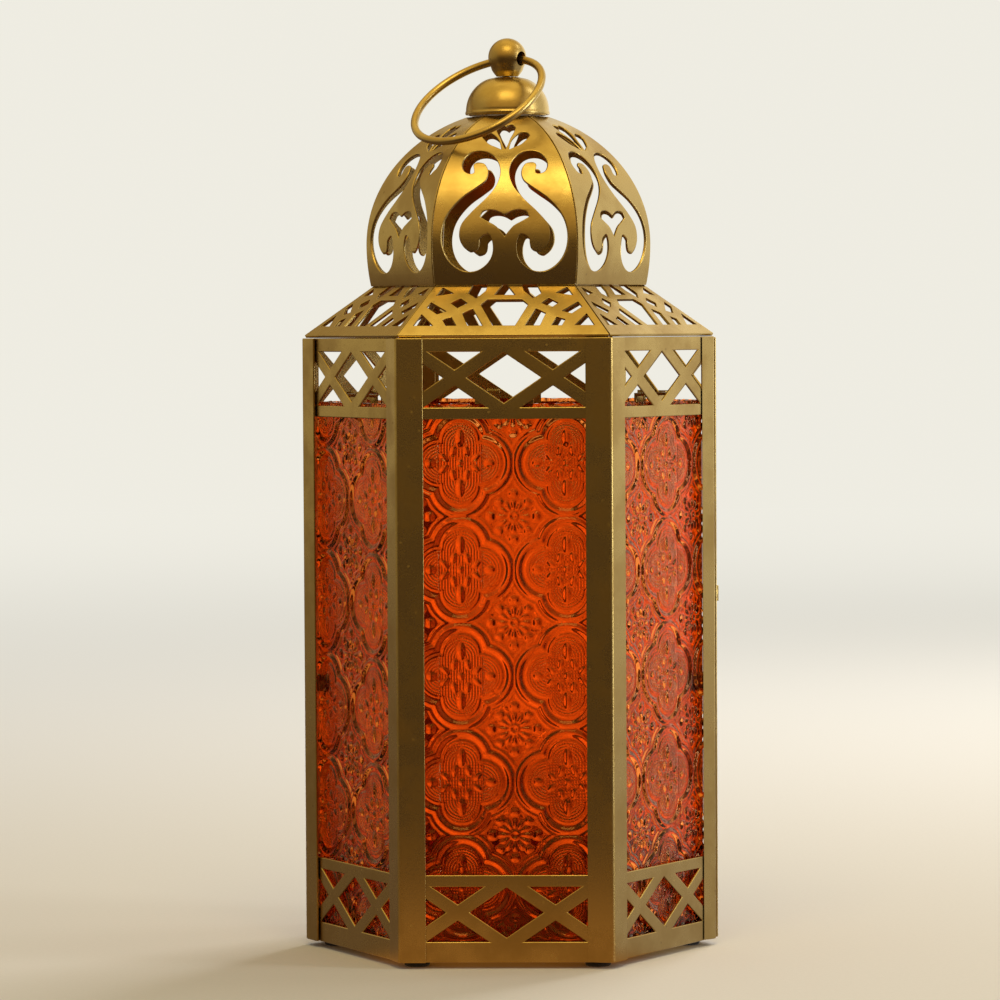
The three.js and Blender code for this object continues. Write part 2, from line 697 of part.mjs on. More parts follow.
// Middle line of a scroll: X, height and width of the opening
const scrollLine = [
  [9.3, 35, 0.8], [11.2, 35.9, 2.2], [11.9, 38.2, 3.3], [9.6, 40.5, 3.6], [5.4, 40, 3.8], [3.3, 36.4, 3.8],
  [4.2, 32.3, 3.6], [7.6, 28.8, 4.5], [12, 25.2, 5.3], [16.2, 20, 5.3], [17.1, 14.4, 5.7], [15.1, 9.6, 6.3],
  [10.9, 7.1, 6.2], [6.6, 9.4, 5], [5.9, 13.6, 4], [6.9, 16.2, 3], [8.5, 18, 1.2]];
const scrollSteps = 32;
const heartHalf = [[0, 22], [2.2, 23.2], [4.7, 23.6], [6.8, 23], [7.7, 21.4], [5.4, 20.1], [2.9, 18.7], [1.3, 17], [0, 15.3]];
const leafOutline = [
  [1.2, 43], [1.9, 45.7], [3.2, 47.4], [5.2, 48.6], [7, 48.4], [7.7, 47.5], [6.4, 46], [5, 44.7], [3, 43.8]];
const tulipHalf = [[0, 50.5], [0.9, 51.1], [2.1, 51.2], [3.1, 50.2], [2.4, 48.3], [1.5, 46.6], [0.8, 44.6], [0, 43.1]];

function scrollOutline() {
  const curve = new THREE.CatmullRomCurve3(scrollLine.map(p => new THREE.Vector3(...p)));
  const left = [];
  const right = [];
  for (let i = 0; i <= scrollSteps; i += 1) {
    const point = curve.getPoint(i / scrollSteps);
    const tangent = curve.getTangent(i / scrollSteps);
    const length = Math.hypot(tangent.x, tangent.y);
    const across = [-tangent.y / length, tangent.x / length].map(v => v * point.z / 2);
    left.push([point.x + across[0], point.y + across[1]]);
    right.unshift([point.x - across[0], point.y - across[1]]);
  }
  return [...left, ...right];
}

function mirrored(half) {
  return [...half, ...half.slice(1, -1).reverse().map(([x, y]) => [-x, y])];
}

function gorePlate() {
  const rises = goreRises();
  const outer = rises.map(rise => domeArc(rise, 0));
  const inner = rises.map(rise => domeArc(rise, sheet));
  inner[0][1] += sheet * Math.tan(roofSlope);
  const section = [...outer, ...inner.reverse()].map(([radius, height]) => [apothem - radius, height]);
  const plate = faceProfile(section, 0, bodyAcross);
  const wide = domeWaistRadius * Math.tan(halfAngle) / goreDrawing.halfWidth;
  const tall = domeHeight / goreDrawing.height;
  const opening = (points, side) => {
    const placed = polygon(points.map(([x, y]) => [side * x * wide, domeFoot + y * tall]));
    return facePlate(placed, 0, apothem);
  };
  const openings = [mirrored(heartHalf), mirrored(tulipHalf)].map(points => opening(points, 1));
  for (const side of [-1, 1]) {
    openings.push(opening(scrollOutline(), side), opening(leafOutline, side));
  }
  return cut(keepWithin(plate, sector(0, domeTop + sheet)), ...openings);
}

const roofGeometry = roofPlate();
const goreGeometry = gorePlate();
for (const face of faces) {
  addPiece(face.group, `roof_plate_${face.name}`, roofGeometry, gold);
  addPiece(face.group, `dome_gore_${face.name}`, goreGeometry, gold);
}

// Crown disc that the gores end under, cap, finial ball and the screw that holds them
const crownPlan = new THREE.Shape();
crownPlan.absarc(0, 0, crownRadius, 0, 360 * degrees);
const crownHole = new THREE.Path();
crownHole.absarc(0, 0, screwRadius + gap, 0, 360 * degrees);
crownPlan.holes.push(crownHole);
addPiece(lantern, 'crown_disc', upright(crownPlan, crownFoot, crownFoot + crownThickness, 28), gold);

// The cap's side is an arc from the band up to the edge of the flat top.
function capSide(inset) {
  const count = 6;
  const points = [];
  for (let i = 0; i <= count; i += 1) {
    const angle = capShoulder * degrees * i / count;
    points.push([(capRadius - inset) * Math.cos(angle), capBand + (capRadius - inset) * Math.sin(angle)]);
  }
  return points;
}

const capProfile = [
  [capRadius, 0], ...capSide(0), [capFlat, capHeight], [screwRadius + gap, capHeight],
  [screwRadius + gap, capHeight - sheet], [capFlat, capHeight - sheet], ...capSide(sheet).reverse(),
  [capRadius - sheet, 0], [capRadius, 0]];
addPiece(lantern, 'cap', turnedUpright(capProfile, 28), gold).position.z = capFoot;

function ballProfile() {
  const start = -Math.acos(neckTopRadius / ballRadius);
  const points = [[0, ballFoot - ballMiddle], [neckRadius, ballFoot - ballMiddle]];
  const count = 11;
  for (let i = 0; i <= count; i += 1) {
    const angle = start + (90 * degrees - start) * i / count;
    points.push([i === count ? 0 : ballRadius * Math.cos(angle), ballRadius * Math.sin(angle)]);
  }
  return points;
}

const crossHole = new THREE.CylinderGeometry(ringHoleRadius, ringHoleRadius, 4 * ballRadius, 16);
crossHole.rotateZ(90 * degrees).rotateZ(ringAzimuth * degrees).translate(0, 0, -ringHoleDrop);
const screwHole = new THREE.CylinderGeometry(screwRadius + gap, screwRadius + gap, 2 * (screwGrip + gap), 16);
screwHole.rotateX(90 * degrees).translate(0, 0, ballFoot - ballMiddle);
const ball = cut(turnedUpright(ballProfile(), 24), crossHole, screwHole);
addPiece(lantern, 'finial_ball', ball, gold).position.z = ballMiddle;

const screwHeadTop = crownFoot - gap;
const screwProfile = [
  [0, screwHeadTop - screwHeadHeight], [screwHeadRadius, screwHeadTop - screwHeadHeight],
  [screwHeadRadius, screwHeadTop], [screwRadius, screwHeadTop], [screwRadius, screwTop], [0, screwTop]];
addPiece(lantern, 'finial_screw', turnedUpright(screwProfile, 16), steel);

// Ring handle: it lies low in the ball's cross hole and swings about the hole's axis
const ringFrame = new THREE.Group();
ringFrame.position.z = ballMiddle - ringHoleDrop;
ringFrame.rotation.order = 'ZXY';
ringFrame.rotation.z = ringAzimuth * degrees;
ringFrame.rotation.x = ringTilt * degrees;
lantern.add(ringFrame);
const ring = new THREE.TorusGeometry(ringRadius, wireRadius, 8, 48);
addPiece(ringFrame, 'ring_handle', ring.translate(ringSlide, ringSag / 2 - ringRadius, -ringSettle), gold);

export default lantern;
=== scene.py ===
"""A hexagonal candle lantern of pierced gold sheet metal with pressed amber glass.

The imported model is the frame: every piece here stands for CAD nodes, stays where they are and
rides on their bodies. Lengths are written in millimetres and multiplied by MM where they
become geometry. The front face looks along -Y, and a face is turned from it about Z.
"""

import logging
import math
from collections.abc import Iterable, Sequence
from dataclasses import dataclass, field
from enum import Enum

import bmesh
import bpy
from mathutils import Matrix, Vector


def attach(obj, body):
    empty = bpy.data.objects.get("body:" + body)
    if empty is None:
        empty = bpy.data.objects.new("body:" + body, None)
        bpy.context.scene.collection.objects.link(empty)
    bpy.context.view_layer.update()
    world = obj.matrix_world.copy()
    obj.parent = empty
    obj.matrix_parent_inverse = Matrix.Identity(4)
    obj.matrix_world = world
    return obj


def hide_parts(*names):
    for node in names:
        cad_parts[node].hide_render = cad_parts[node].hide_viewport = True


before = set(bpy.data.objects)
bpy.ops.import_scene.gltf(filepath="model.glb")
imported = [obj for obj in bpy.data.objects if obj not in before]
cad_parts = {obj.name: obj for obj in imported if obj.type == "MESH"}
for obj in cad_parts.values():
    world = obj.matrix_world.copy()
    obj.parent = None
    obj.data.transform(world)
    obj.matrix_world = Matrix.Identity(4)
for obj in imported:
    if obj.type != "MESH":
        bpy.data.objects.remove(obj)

MM = 0.001
log = logging.getLogger("lantern")

Point = tuple[float, float]
Colour = tuple[float, float, float]


class Body(Enum):
    """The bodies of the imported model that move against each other."""

    LANTERN = "lantern"
    DOOR = "door"
    LATCH = "latch"
    HANDLE = "handle"


class Slot(Enum):
    """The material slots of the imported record."""

    GOLD = "gold_metal"
    GLASS = "amber_glass"
    RUBBER = "foot_rubber"
    STEEL = "pin_steel"


class Face(Enum):
    """The six faces, each with its turn about Z from the front one, in degrees."""

    FRONT = 0
    FRONT_RIGHT = 60
    REAR_RIGHT = 120
    REAR = 180
    REAR_LEFT = 240
    FRONT_LEFT = 300

    @property
    def node_name(self) -> str:
        """The face's name as the CAD nodes spell it."""
        return self.name.lower()


# Node trees


class Wire:
    """One output socket of a node tree, with the operators that add Math nodes to it."""

    def __init__(self, graph: "Graph", socket: bpy.types.NodeSocket) -> None:
        """Holds the socket and the graph that it belongs to."""
        self.graph = graph
        self.socket = socket

    def __add__(self, other: "Operand") -> "Wire":
        """Sum."""
        return self.graph.maths("ADD", self, other)

    def __radd__(self, other: "Operand") -> "Wire":
        """Sum with the number first."""
        return self.graph.maths("ADD", other, self)

    def __sub__(self, other: "Operand") -> "Wire":
        """Difference."""
        return self.graph.maths("SUBTRACT", self, other)

    def __rsub__(self, other: "Operand") -> "Wire":
        """Difference with the number first."""
        return self.graph.maths("SUBTRACT", other, self)

    def __mul__(self, other: "Operand") -> "Wire":
        """Product."""
        return self.graph.maths("MULTIPLY", self, other)

    def __rmul__(self, other: "Operand") -> "Wire":
        """Product with the number first."""
        return self.graph.maths("MULTIPLY", other, self)

    def __truediv__(self, other: "Operand") -> "Wire":
        """Quotient."""
        return self.graph.maths("DIVIDE", self, other)

    def __rtruediv__(self, other: "Operand") -> "Wire":
        """Quotient with the number first."""
        return self.graph.maths("DIVIDE", other, self)

    def __pow__(self, other: "Operand") -> "Wire":
        """Power."""
        return self.graph.maths("POWER", self, other)

    def __neg__(self) -> "Wire":
        """Opposite."""
        return self.graph.maths("MULTIPLY", self, -1.0)

    def __abs__(self) -> "Wire":
        """Size without sign."""
        return self.graph.maths("ABSOLUTE", self)

    def __gt__(self, other: "Operand") -> "Wire":
        """One where this value is the larger, and zero elsewhere."""
        return self.graph.maths("GREATER_THAN", self, other)

    def clamped(self) -> "Wire":
        """The value kept between zero and one."""
        return self.graph.node(
            "ShaderNodeMath", {"operation": "ADD", "use_clamp": True}, {0: self, 1: 0.0})


Operand = Wire | float


class Graph:
    """Adds nodes to a shader or geometry tree."""

    def __init__(self, tree: bpy.types.NodeTree) -> None:
        """Starts on an empty tree."""
        self.tree = tree
        tree.nodes.clear()

    def node(
        self,
        kind: str,
        settings: dict[str, object] | None = None,
        inputs: dict[int | str, object] | None = None,
        output: int | str = 0,
    ) -> Wire:
        """Adds a node of any type.

        Args:
            kind: The node's type name.
            settings: Its properties, and under "ramp" a colour ramp's stops.
            inputs: Values or wires for its sockets, by name or place.
            output: The output that the wire stands for.

        Returns:
            A wire on that output, or on nothing where the node has none.
        """
        made = self.tree.nodes.new(kind)
        for name, value in (settings or {}).items():
            if name == "ramp":
                self._set_ramp(made, value)
            else:
                setattr(made, name, value)
        for key, value in (inputs or {}).items():
            if isinstance(value, Wire):
                self.tree.links.new(value.socket, made.inputs[key])
            else:
                made.inputs[key].default_value = value
        return Wire(self, made.outputs[output] if len(made.outputs) else None)

    @staticmethod
    def _set_ramp(made: bpy.types.Node, stops: Sequence[tuple[float, Colour]]) -> None:
        """Gives a colour ramp its stops, each a position and a colour."""
        elements = made.color_ramp.elements
        while len(elements) < len(stops):
            elements.new(0.5)
        for element, (position, colour) in zip(elements, stops):
            element.position = position
            element.color = (*colour, 1.0)

    def maths(self, operation: str, *values: Operand) -> Wire:
        """Adds a Math node.

        Args:
            operation: The Math node's operation.
            values: Its operands.

        Returns:
            The result's wire.
        """
        return self.node("ShaderNodeMath", {"operation": operation}, dict(enumerate(values)))

    def least(self, *values: Operand) -> Wire:
        """The smallest of some values."""
        result = values[0]
        for value in values[1:]:
            result = self.maths("MINIMUM", result, value)
        return result

    def most(self, *values: Operand) -> Wire:
        """The largest of some values."""
        result = values[0]
        for value in values[1:]:
            result = self.maths("MAXIMUM", result, value)
        return result

    def ramp(self, value: Operand, start: float, end: float) -> Wire:
        """Rises smoothly from zero at the start to one at the end."""
        part = ((value - start) / (end - start)).clamped()
        return part * part * (3.0 - 2.0 * part)

    def length(self, x: Operand, y: Operand) -> Wire:
        """The length of a flat vector."""
        return self.maths("SQRT", x * x + y * y)

    def split(self, vector: Wire) -> tuple[Wire, Wire, Wire]:
        """The three parts of a vector."""
        made = self.node("ShaderNodeSeparateXYZ", inputs={0: vector})
        outputs = made.socket.node.outputs
        return Wire(self, outputs[0]), Wire(self, outputs[1]), Wire(self, outputs[2])

    def join(self, x: Operand, y: Operand, z: Operand) -> Wire:
        """A vector of three parts."""
        return self.node("ShaderNodeCombineXYZ", inputs={0: x, 1: y, 2: z})

    def blend(self, share: Operand, first: Wire | tuple, second: Wire | tuple, way: str = "MIX") -> Wire:
        """Mixes two colours.

        Args:
            share: How much of the second colour shows.
            first: The colour at a share of zero.
            second: The colour at a share of one.
            way: The Mix node's blend type.

        Returns:
            The mixed colour's wire.
        """
        settings = {"data_type": "RGBA", "blend_type": way}
        return self.node("ShaderNodeMix", settings, {0: share, 6: first, 7: second}, output=2)


def rgba(colour: Colour) -> tuple[float, float, float, float]:
    """A colour with full opacity."""
    return (*colour, 1.0)


# Finishes


def new_material(name: str) -> tuple[bpy.types.Material, Graph]:
    """Makes a material with an empty node tree.

    Args:
        name: The material's name.

    Returns:
        The material and the graph of its tree.
    """
    material = bpy.data.materials.new(name)
    material.use_nodes = True
    return material, Graph(material.node_tree)


@dataclass(frozen=True)
class GoldFinish:
    """Satin gold lacquer on sheet metal, a little tarnished and dusty."""

    name: str = "satin_gold"
    bright: Colour = (0.52, 0.385, 0.135)
    tarnish: Colour = (0.40, 0.275, 0.085)
    speck: Colour = (0.16, 0.10, 0.04)
    roughness: float = 0.25
    cloud_scale: float = 55.0
    grain_scale: float = 1500.0
    speck_scale: float = 210.0

    def build(self) -> bpy.types.Material:
        """Makes the material: clouds of tarnish, a fine grain and scattered specks."""
        material, g = new_material(self.name)
        place = g.node("ShaderNodeTexCoord", output="Object")
        cloud = g.node("ShaderNodeTexNoise", inputs={
            "Vector": place, "Scale": self.cloud_scale, "Detail": 4.0, "Roughness": 0.6})
        grain = g.node("ShaderNodeTexNoise", inputs={
            "Vector": place, "Scale": self.grain_scale, "Detail": 3.0, "Roughness": 0.7})
        spots = g.node("ShaderNodeTexVoronoi", inputs={"Vector": place, "Scale": self.speck_scale}, output="Distance")
        speck = 1.0 - g.ramp(spots, 0.05, 0.11)
        worn = g.ramp(cloud, 0.38, 0.66)
        colour = g.blend(worn, rgba(self.bright), rgba(self.tarnish))
        mottled = g.blend(g.ramp(grain, 0.35, 0.75) * 0.16, colour, rgba(self.tarnish))
        dusted = g.blend(speck * g.ramp(cloud, 0.5, 0.6) * 0.5, mottled, rgba(self.speck))
        gloss = self.roughness + 0.09 * worn + 0.10 * (grain - 0.5) + 0.15 * speck
        bump = g.node("ShaderNodeBump", inputs={
            "Strength": 0.22, "Distance": 0.00006, "Height": grain + 0.5 * cloud})
        shader = g.node("ShaderNodeBsdfPrincipled", inputs={
            "Base Color": dusted, "Metallic": 1.0, "Roughness": gloss, "Normal": bump})
        g.node("ShaderNodeOutputMaterial", inputs={"Surface": shader})
        return material


@dataclass(frozen=True)
class GlassFinish:
    """Pressed amber glass, with the fine ribs that are too small to be modelled."""

    name: str = "amber_glass"
    tint: Colour = (1.0, 0.285, 0.055)
    glint: Colour = (1.0, 0.45, 0.15)
    roughness: float = 0.04
    specular_level: float = 0.28
    rib_pitch: float = 0.9
    bead_pitch: float = 0.95
    line_attribute: str = "rib_line"
    along_attribute: str = "rib_along"
    amount_attribute: str = "rib_amount"

    def build(self) -> bpy.types.Material:
        """Makes the material: clear tinted glass with ribs and ripples as bumps."""
        material, g = new_material(self.name)
        line = g.node("ShaderNodeAttribute", {"attribute_name": self.line_attribute}, output="Fac")
        along = g.node("ShaderNodeAttribute", {"attribute_name": self.along_attribute}, output="Fac")
        amount = g.node("ShaderNodeAttribute", {"attribute_name": self.amount_attribute}, output="Fac")
        rib = g.maths("SINE", line * (2.0 * math.pi / self.rib_pitch)) * 0.5 + 0.5
        bead = g.maths("SINE", along * (2.0 * math.pi / self.bead_pitch)) * 0.5 + 0.5
        place = g.node("ShaderNodeTexCoord", output="Object")
        ripple = g.node("ShaderNodeTexNoise", inputs={
            "Vector": place, "Scale": 260.0, "Detail": 3.0, "Roughness": 0.55})
        tone = g.node("ShaderNodeTexNoise", inputs={"Vector": place, "Scale": 30.0, "Detail": 2.0})
        ribs = g.node("ShaderNodeBump", inputs={
            "Strength": 1.0, "Distance": 0.0002, "Height": rib * (0.45 + 0.55 * bead) * amount})
        bump = g.node("ShaderNodeBump", inputs={
            "Strength": 0.3, "Distance": 0.0002, "Height": ripple, "Normal": ribs})
        deeper = tuple(part * 0.86 for part in self.tint)
        colour = g.blend(g.ramp(tone, 0.4, 0.65), rgba(self.tint), rgba(deeper))
        shader = g.node("ShaderNodeBsdfPrincipled", inputs={
            "Base Color": colour, "Roughness": self.roughness, "IOR": 1.5,
            "Specular IOR Level": self.specular_level, "Specular Tint": rgba(self.glint),
            "Transmission Weight": 1.0, "Normal": bump})
        g.node("ShaderNodeOutputMaterial", inputs={"Surface": shader})
        return material


@dataclass(frozen=True)
class RubberFinish:
    """Black rubber of the feet, matt and slightly scuffed."""

    name: str = "foot_rubber"
    dark: Colour = (0.012, 0.011, 0.010)
    scuffed: Colour = (0.045, 0.042, 0.038)

    def build(self) -> bpy.types.Material:
        """Makes the material from one fine noise."""
        material, g = new_material(self.name)
        place = g.node("ShaderNodeTexCoord", output="Object")
        grain = g.node("ShaderNodeTexNoise", inputs={"Vector": place, "Scale": 900.0, "Detail": 4.0})
        bump = g.node("ShaderNodeBump", inputs={"Strength": 0.4, "Distance": 0.0001, "Height": grain})
        shader = g.node("ShaderNodeBsdfPrincipled", inputs={
            "Base Color": g.blend(g.ramp(grain, 0.5, 0.8), rgba(self.dark), rgba(self.scuffed)),
            "Roughness": 0.7 + 0.2 * grain, "Normal": bump})
        g.node("ShaderNodeOutputMaterial", inputs={"Surface": shader})
        return material


@dataclass(frozen=True)
class SteelFinish:
    """Bare steel of the pins and the screw, with turning marks."""

    name: str = "bare_steel"
    bright: Colour = (0.50, 0.47, 0.42)
    dull: Colour = (0.30, 0.27, 0.23)

    def build(self) -> bpy.types.Material:
        """Makes the material: rings along Z and a cloud of dullness."""
        material, g = new_material(self.name)
        place = g.node("ShaderNodeTexCoord", output="Object")
        cloud = g.node("ShaderNodeTexNoise", inputs={"Vector": place, "Scale": 400.0, "Detail": 3.0})
        x, y, z = g.split(place)
        marks = g.maths("SINE", z * (2.0 * math.pi / 0.00025)) * 0.5 + 0.5
        bump = g.node("ShaderNodeBump", inputs={"Strength": 0.3, "Distance": 0.00003, "Height": marks})
        shader = g.node("ShaderNodeBsdfPrincipled", inputs={
            "Base Color": g.blend(g.ramp(cloud, 0.4, 0.7), rgba(self.bright), rgba(self.dull)),
            "Metallic": 1.0, "Roughness": 0.3 + 0.15 * cloud, "Normal": bump})
        g.node("ShaderNodeOutputMaterial", inputs={"Surface": shader})
        return material


class Finishes:
    """Makes each finish once and hands out its material by slot."""

    def __init__(self) -> None:
        """Builds the four finishes of the object."""
        self.materials = {
            Slot.GOLD: GoldFinish().build(),
            Slot.GLASS: GlassFinish().build(),
            Slot.RUBBER: RubberFinish().build(),
            Slot.STEEL: SteelFinish().build(),
        }

    def dress(self, piece: bpy.types.Object, slot: Slot) -> None:
        """Gives a piece one finish.

        Args:
            piece: The piece's object.
            slot: The slot that it takes its finish from.
        """
        piece.data.materials.clear()
        piece.data.materials.append(self.materials[slot])


# Mesh work


def new_piece(name: str, mesh: bpy.types.Mesh) -> bpy.types.Object:
    """Puts a mesh in the scene as an object at the origin."""
    piece = bpy.data.objects.new(name, mesh)
    bpy.context.scene.collection.objects.link(piece)
    return piece


def to_mesh(shape: bmesh.types.BMesh, name: str) -> bpy.types.Mesh:
    """Turns a bmesh into a mesh and frees it."""
    mesh = bpy.data.meshes.new(name)
    shape.to_mesh(mesh)
    shape.free()
    return mesh


def apply_modifiers(piece: bpy.types.Object) -> None:
    """Replaces a piece's mesh by the evaluated one and removes its modifiers."""
    graph = bpy.context.evaluated_depsgraph_get()
    made = bpy.data.meshes.new_from_object(
        piece.evaluated_get(graph), preserve_all_data_layers=True, depsgraph=graph)
    before = piece.data
    piece.modifiers.clear()
    piece.data = made
    name = before.name
    bpy.data.meshes.remove(before)
    made.name = name


def shade(mesh: bpy.types.Mesh, angle: float) -> None:
    """Shades a mesh smooth, with edges sharper than an angle in degrees kept sharp."""
    mesh.shade_smooth()
    mesh.set_sharp_from_angle(angle=math.radians(angle))


def level_normals(piece: bpy.types.Object) -> None:
    """Lets broad flat faces rule the normals that they share with narrow round ones."""
    weighted = piece.modifiers.new("level_normals", "WEIGHTED_NORMAL")
    weighted.keep_sharp = True
    weighted.weight = 60
    apply_modifiers(piece)


def hand_over(piece: bpy.types.Object, body: Body, nodes: Iterable[str]) -> None:
    """Lets a finished piece ride on a body in the place of CAD nodes, and logs it.

    Args:
        piece: The finished piece.
        body: The body that it moves with.
        nodes: The CAD nodes that it stands for.
    """
    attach(piece, body.value)
    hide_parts(*nodes)
    piece.data.calc_loop_triangles()
    log.info("%s: %d triangles on %s", piece.name, len(piece.data.loop_triangles), body.value)


def lathe(profile: Sequence[Point], segments: int, closed: bool = False) -> bmesh.types.BMesh:
    """Turns a profile about Z.

    Args:
        profile: Radius and height in millimetres, from the bottom up on the outer side.
        segments: How many steps the turn has.
        closed: Whether the last point joins the first, as in a piece with a bore.

    Returns:
        The turned shape.
    """
    shape = bmesh.new()
    rings = []
    for radius, height in profile:
        if radius < 1e-6:
            rings.append([shape.verts.new((0.0, 0.0, height * MM))] * segments)
            continue
        rings.append([
            shape.verts.new((
                radius * MM * math.cos(2.0 * math.pi * i / segments),
                radius * MM * math.sin(2.0 * math.pi * i / segments),
                height * MM))
            for i in range(segments)])
    pairs = list(zip(rings, rings[1:]))
    if closed:
        pairs.append((rings[-1], rings[0]))
    for low, high in pairs:
        for i in range(segments):
            j = (i + 1) % segments
            corners = list(dict.fromkeys((low[i], low[j], high[j], high[i])))
            if len(corners) > 2:
                shape.faces.new(corners)
    bmesh.ops.recalc_face_normals(shape, faces=shape.faces)
    return shape


def arc(centre: Point, radius: float, start: float, end: float, steps: int) -> list[Point]:
    """Points along an arc.

    Args:
        centre: The arc's centre.
        radius: Its radius.
        start: The first angle in degrees.
        end: The last angle in degrees.
        steps: How many steps lie between them.

    Returns:
        The points, both ends with them.
    """
    angles = [math.radians(start + (end - start) * i / steps) for i in range(steps + 1)]
    return [(centre[0] + radius * math.cos(a), centre[1] + radius * math.sin(a)) for a in angles]


def smooth_run(points: Sequence[tuple[float, ...]], steps: int) -> list[tuple[float, ...]]:
    """Draws a centripetal curve through points of any dimension.

    Args:
        points: The points that the curve goes through.
        steps: How many steps each span has.

    Returns:
        The points of the curve, both ends with them.
    """
    nodes = [Vector(p).to_3d() if len(p) < 3 else Vector(p) for p in points]
    nodes = [2.0 * nodes[0] - nodes[1], *nodes, 2.0 * nodes[-1] - nodes[-2]]
    line = []
    for a, b, c, d in zip(nodes, nodes[1:], nodes[2:], nodes[3:]):
        ta = math.sqrt((b - a).length)
        tb = math.sqrt((c - b).length)
        tc = math.sqrt((d - c).length)
        out = ((b - a) / ta - (c - a) / (ta + tb) + (c - b) / tb) * tb
        into = ((c - b) / tb - (d - b) / (tb + tc) + (d - c) / tc) * tb
        for i in range(steps):
            t = i / steps
            line.append((2 * t**3 - 3 * t**2 + 1) * b + (t**3 - 2 * t**2 + t) * out
                        + (3 * t**2 - 2 * t**3) * c + (t**3 - t**2) * into)
    line.append(nodes[-2])
    return [tuple(point) for point in line]


# Geometry Nodes


class Recipe:
    """A geometry tree with named inputs that pieces are made with."""

    def __init__(self, name: str, inputs: dict[str, str]) -> None:
        """Starts the tree.

        Args:
            name: The tree's name.
            inputs: The socket type of each input, by the input's name.
        """
        self.tree = bpy.data.node_groups.new(name, "GeometryNodeTree")
        self.graph = Graph(self.tree)
        face = self.tree.interface
        self.identifiers = {}
        for label, kind in {"Geometry": "NodeSocketGeometry", **inputs}.items():
            self.identifiers[label] = face.new_socket(label, in_out="INPUT", socket_type=kind).identifier
        face.new_socket("Geometry", in_out="OUTPUT", socket_type="NodeSocketGeometry")
        self.entry = self.tree.nodes.new("NodeGroupInput")

    def take(self, label: str) -> Wire:
        """The wire of one named input."""
        return Wire(self.graph, self.entry.outputs[label])

    def end(self, geometry: Wire, metal: Wire) -> None:
        """Realizes the instances, sets the material and ends the tree."""
        g = self.graph
        real = g.node("GeometryNodeRealizeInstances", inputs={0: geometry})
        dressed = g.node("GeometryNodeSetMaterial", inputs={"Geometry": real, "Material": metal})
        g.node("NodeGroupOutput", inputs={0: dressed})

    def cook(self, piece: bpy.types.Object, values: dict[str, object]) -> None:
        """Runs the tree on a piece and leaves a plain mesh.

        Args:
            piece: The piece whose mesh goes in.
            values: The values of the named inputs.
        """
        modifier = piece.modifiers.new(self.tree.name, "NODES")
        modifier.node_group = self.tree
        for label, value in values.items():
            modifier[self.identifiers[label]] = value
        apply_modifiers(piece)

    def turned(self, geometry: Wire, turn: Operand) -> Wire:
        """Geometry turned about Z by an angle in radians."""
        rotation = self.graph.join(0.0, 0.0, turn)
        return self.graph.node("GeometryNodeTransform", inputs={"Geometry": geometry, "Rotation": rotation})

    def around(self, geometry: Wire, count: Wire) -> Wire:
        """Copies of a geometry all round Z, the first one where it is."""
        g = self.graph
        points = g.node("GeometryNodePoints", inputs={"Count": count, "Position": (0.0, 0.0, 0.0)})
        index = g.node("GeometryNodeInputIndex")
        rotation = g.join(0.0, 0.0, index * (2.0 * math.pi) / count)
        return g.node("GeometryNodeInstanceOnPoints", inputs={
            "Points": points, "Instance": geometry, "Rotation": rotation})


# Sub-assemblies


@dataclass
class SheetPieces:
    """The flat and bent pieces of sheet metal, with their cut edges eased."""

    finishes: Finishes
    edge: float = 0.28
    sharp_angle: float = 28.0
    flat_angle: float = 0.4
    bodies: dict[Body, list[str]] = field(default_factory=lambda: {
        Body.LANTERN: [
            *(f"post_corner_{angle}" for angle in range(0, 360, 60)),
            *(f"{band}_fret_{face.node_name}" for band in ("bottom", "top") for face in Face
              if face is not Face.REAR_RIGHT),
            "base_tray", "crown_disc", "hinge_leaf_post_lower", "hinge_leaf_post_upper"],
        Body.DOOR: ["door_frame", "hinge_leaf_door_lower", "hinge_leaf_door_upper"],
        Body.LATCH: ["latch_knob", "latch_cam"]})

    def eased_copy(self, node: str, name: str) -> bpy.types.Object:
        """Copies a CAD node with its doubles merged, its flats cleanly divided and its edges eased.

        Args:
            node: The CAD node's name.
            name: The new piece's name.

        Returns:
            The new piece.
        """
        shape = bmesh.new()
        shape.from_mesh(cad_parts[node].data)
        bmesh.ops.remove_doubles(shape, verts=shape.verts, dist=0.001 * MM)
        bmesh.ops.dissolve_limit(
            shape, angle_limit=math.radians(self.flat_angle), verts=shape.verts, edges=shape.edges)
        bmesh.ops.triangulate(shape, faces=shape.faces)
        piece = new_piece(name, to_mesh(shape, name))
        eased = piece.modifiers.new("eased_edges", "BEVEL")
        eased.width = self.edge * MM
        eased.segments = 3
        eased.limit_method = "ANGLE"
        eased.angle_limit = math.radians(self.sharp_angle)
        apply_modifiers(piece)
        shade(piece.data, self.sharp_angle)
        level_normals(piece)
        return piece

    def build(self) -> None:
        """Makes every piece and hands it over."""
        for body, nodes in self.bodies.items():
            for node in nodes:
                piece = self.eased_copy(node, f"{node}_sheet")
                self.finishes.dress(piece, Slot.GOLD)
                hand_over(piece, body, [node])


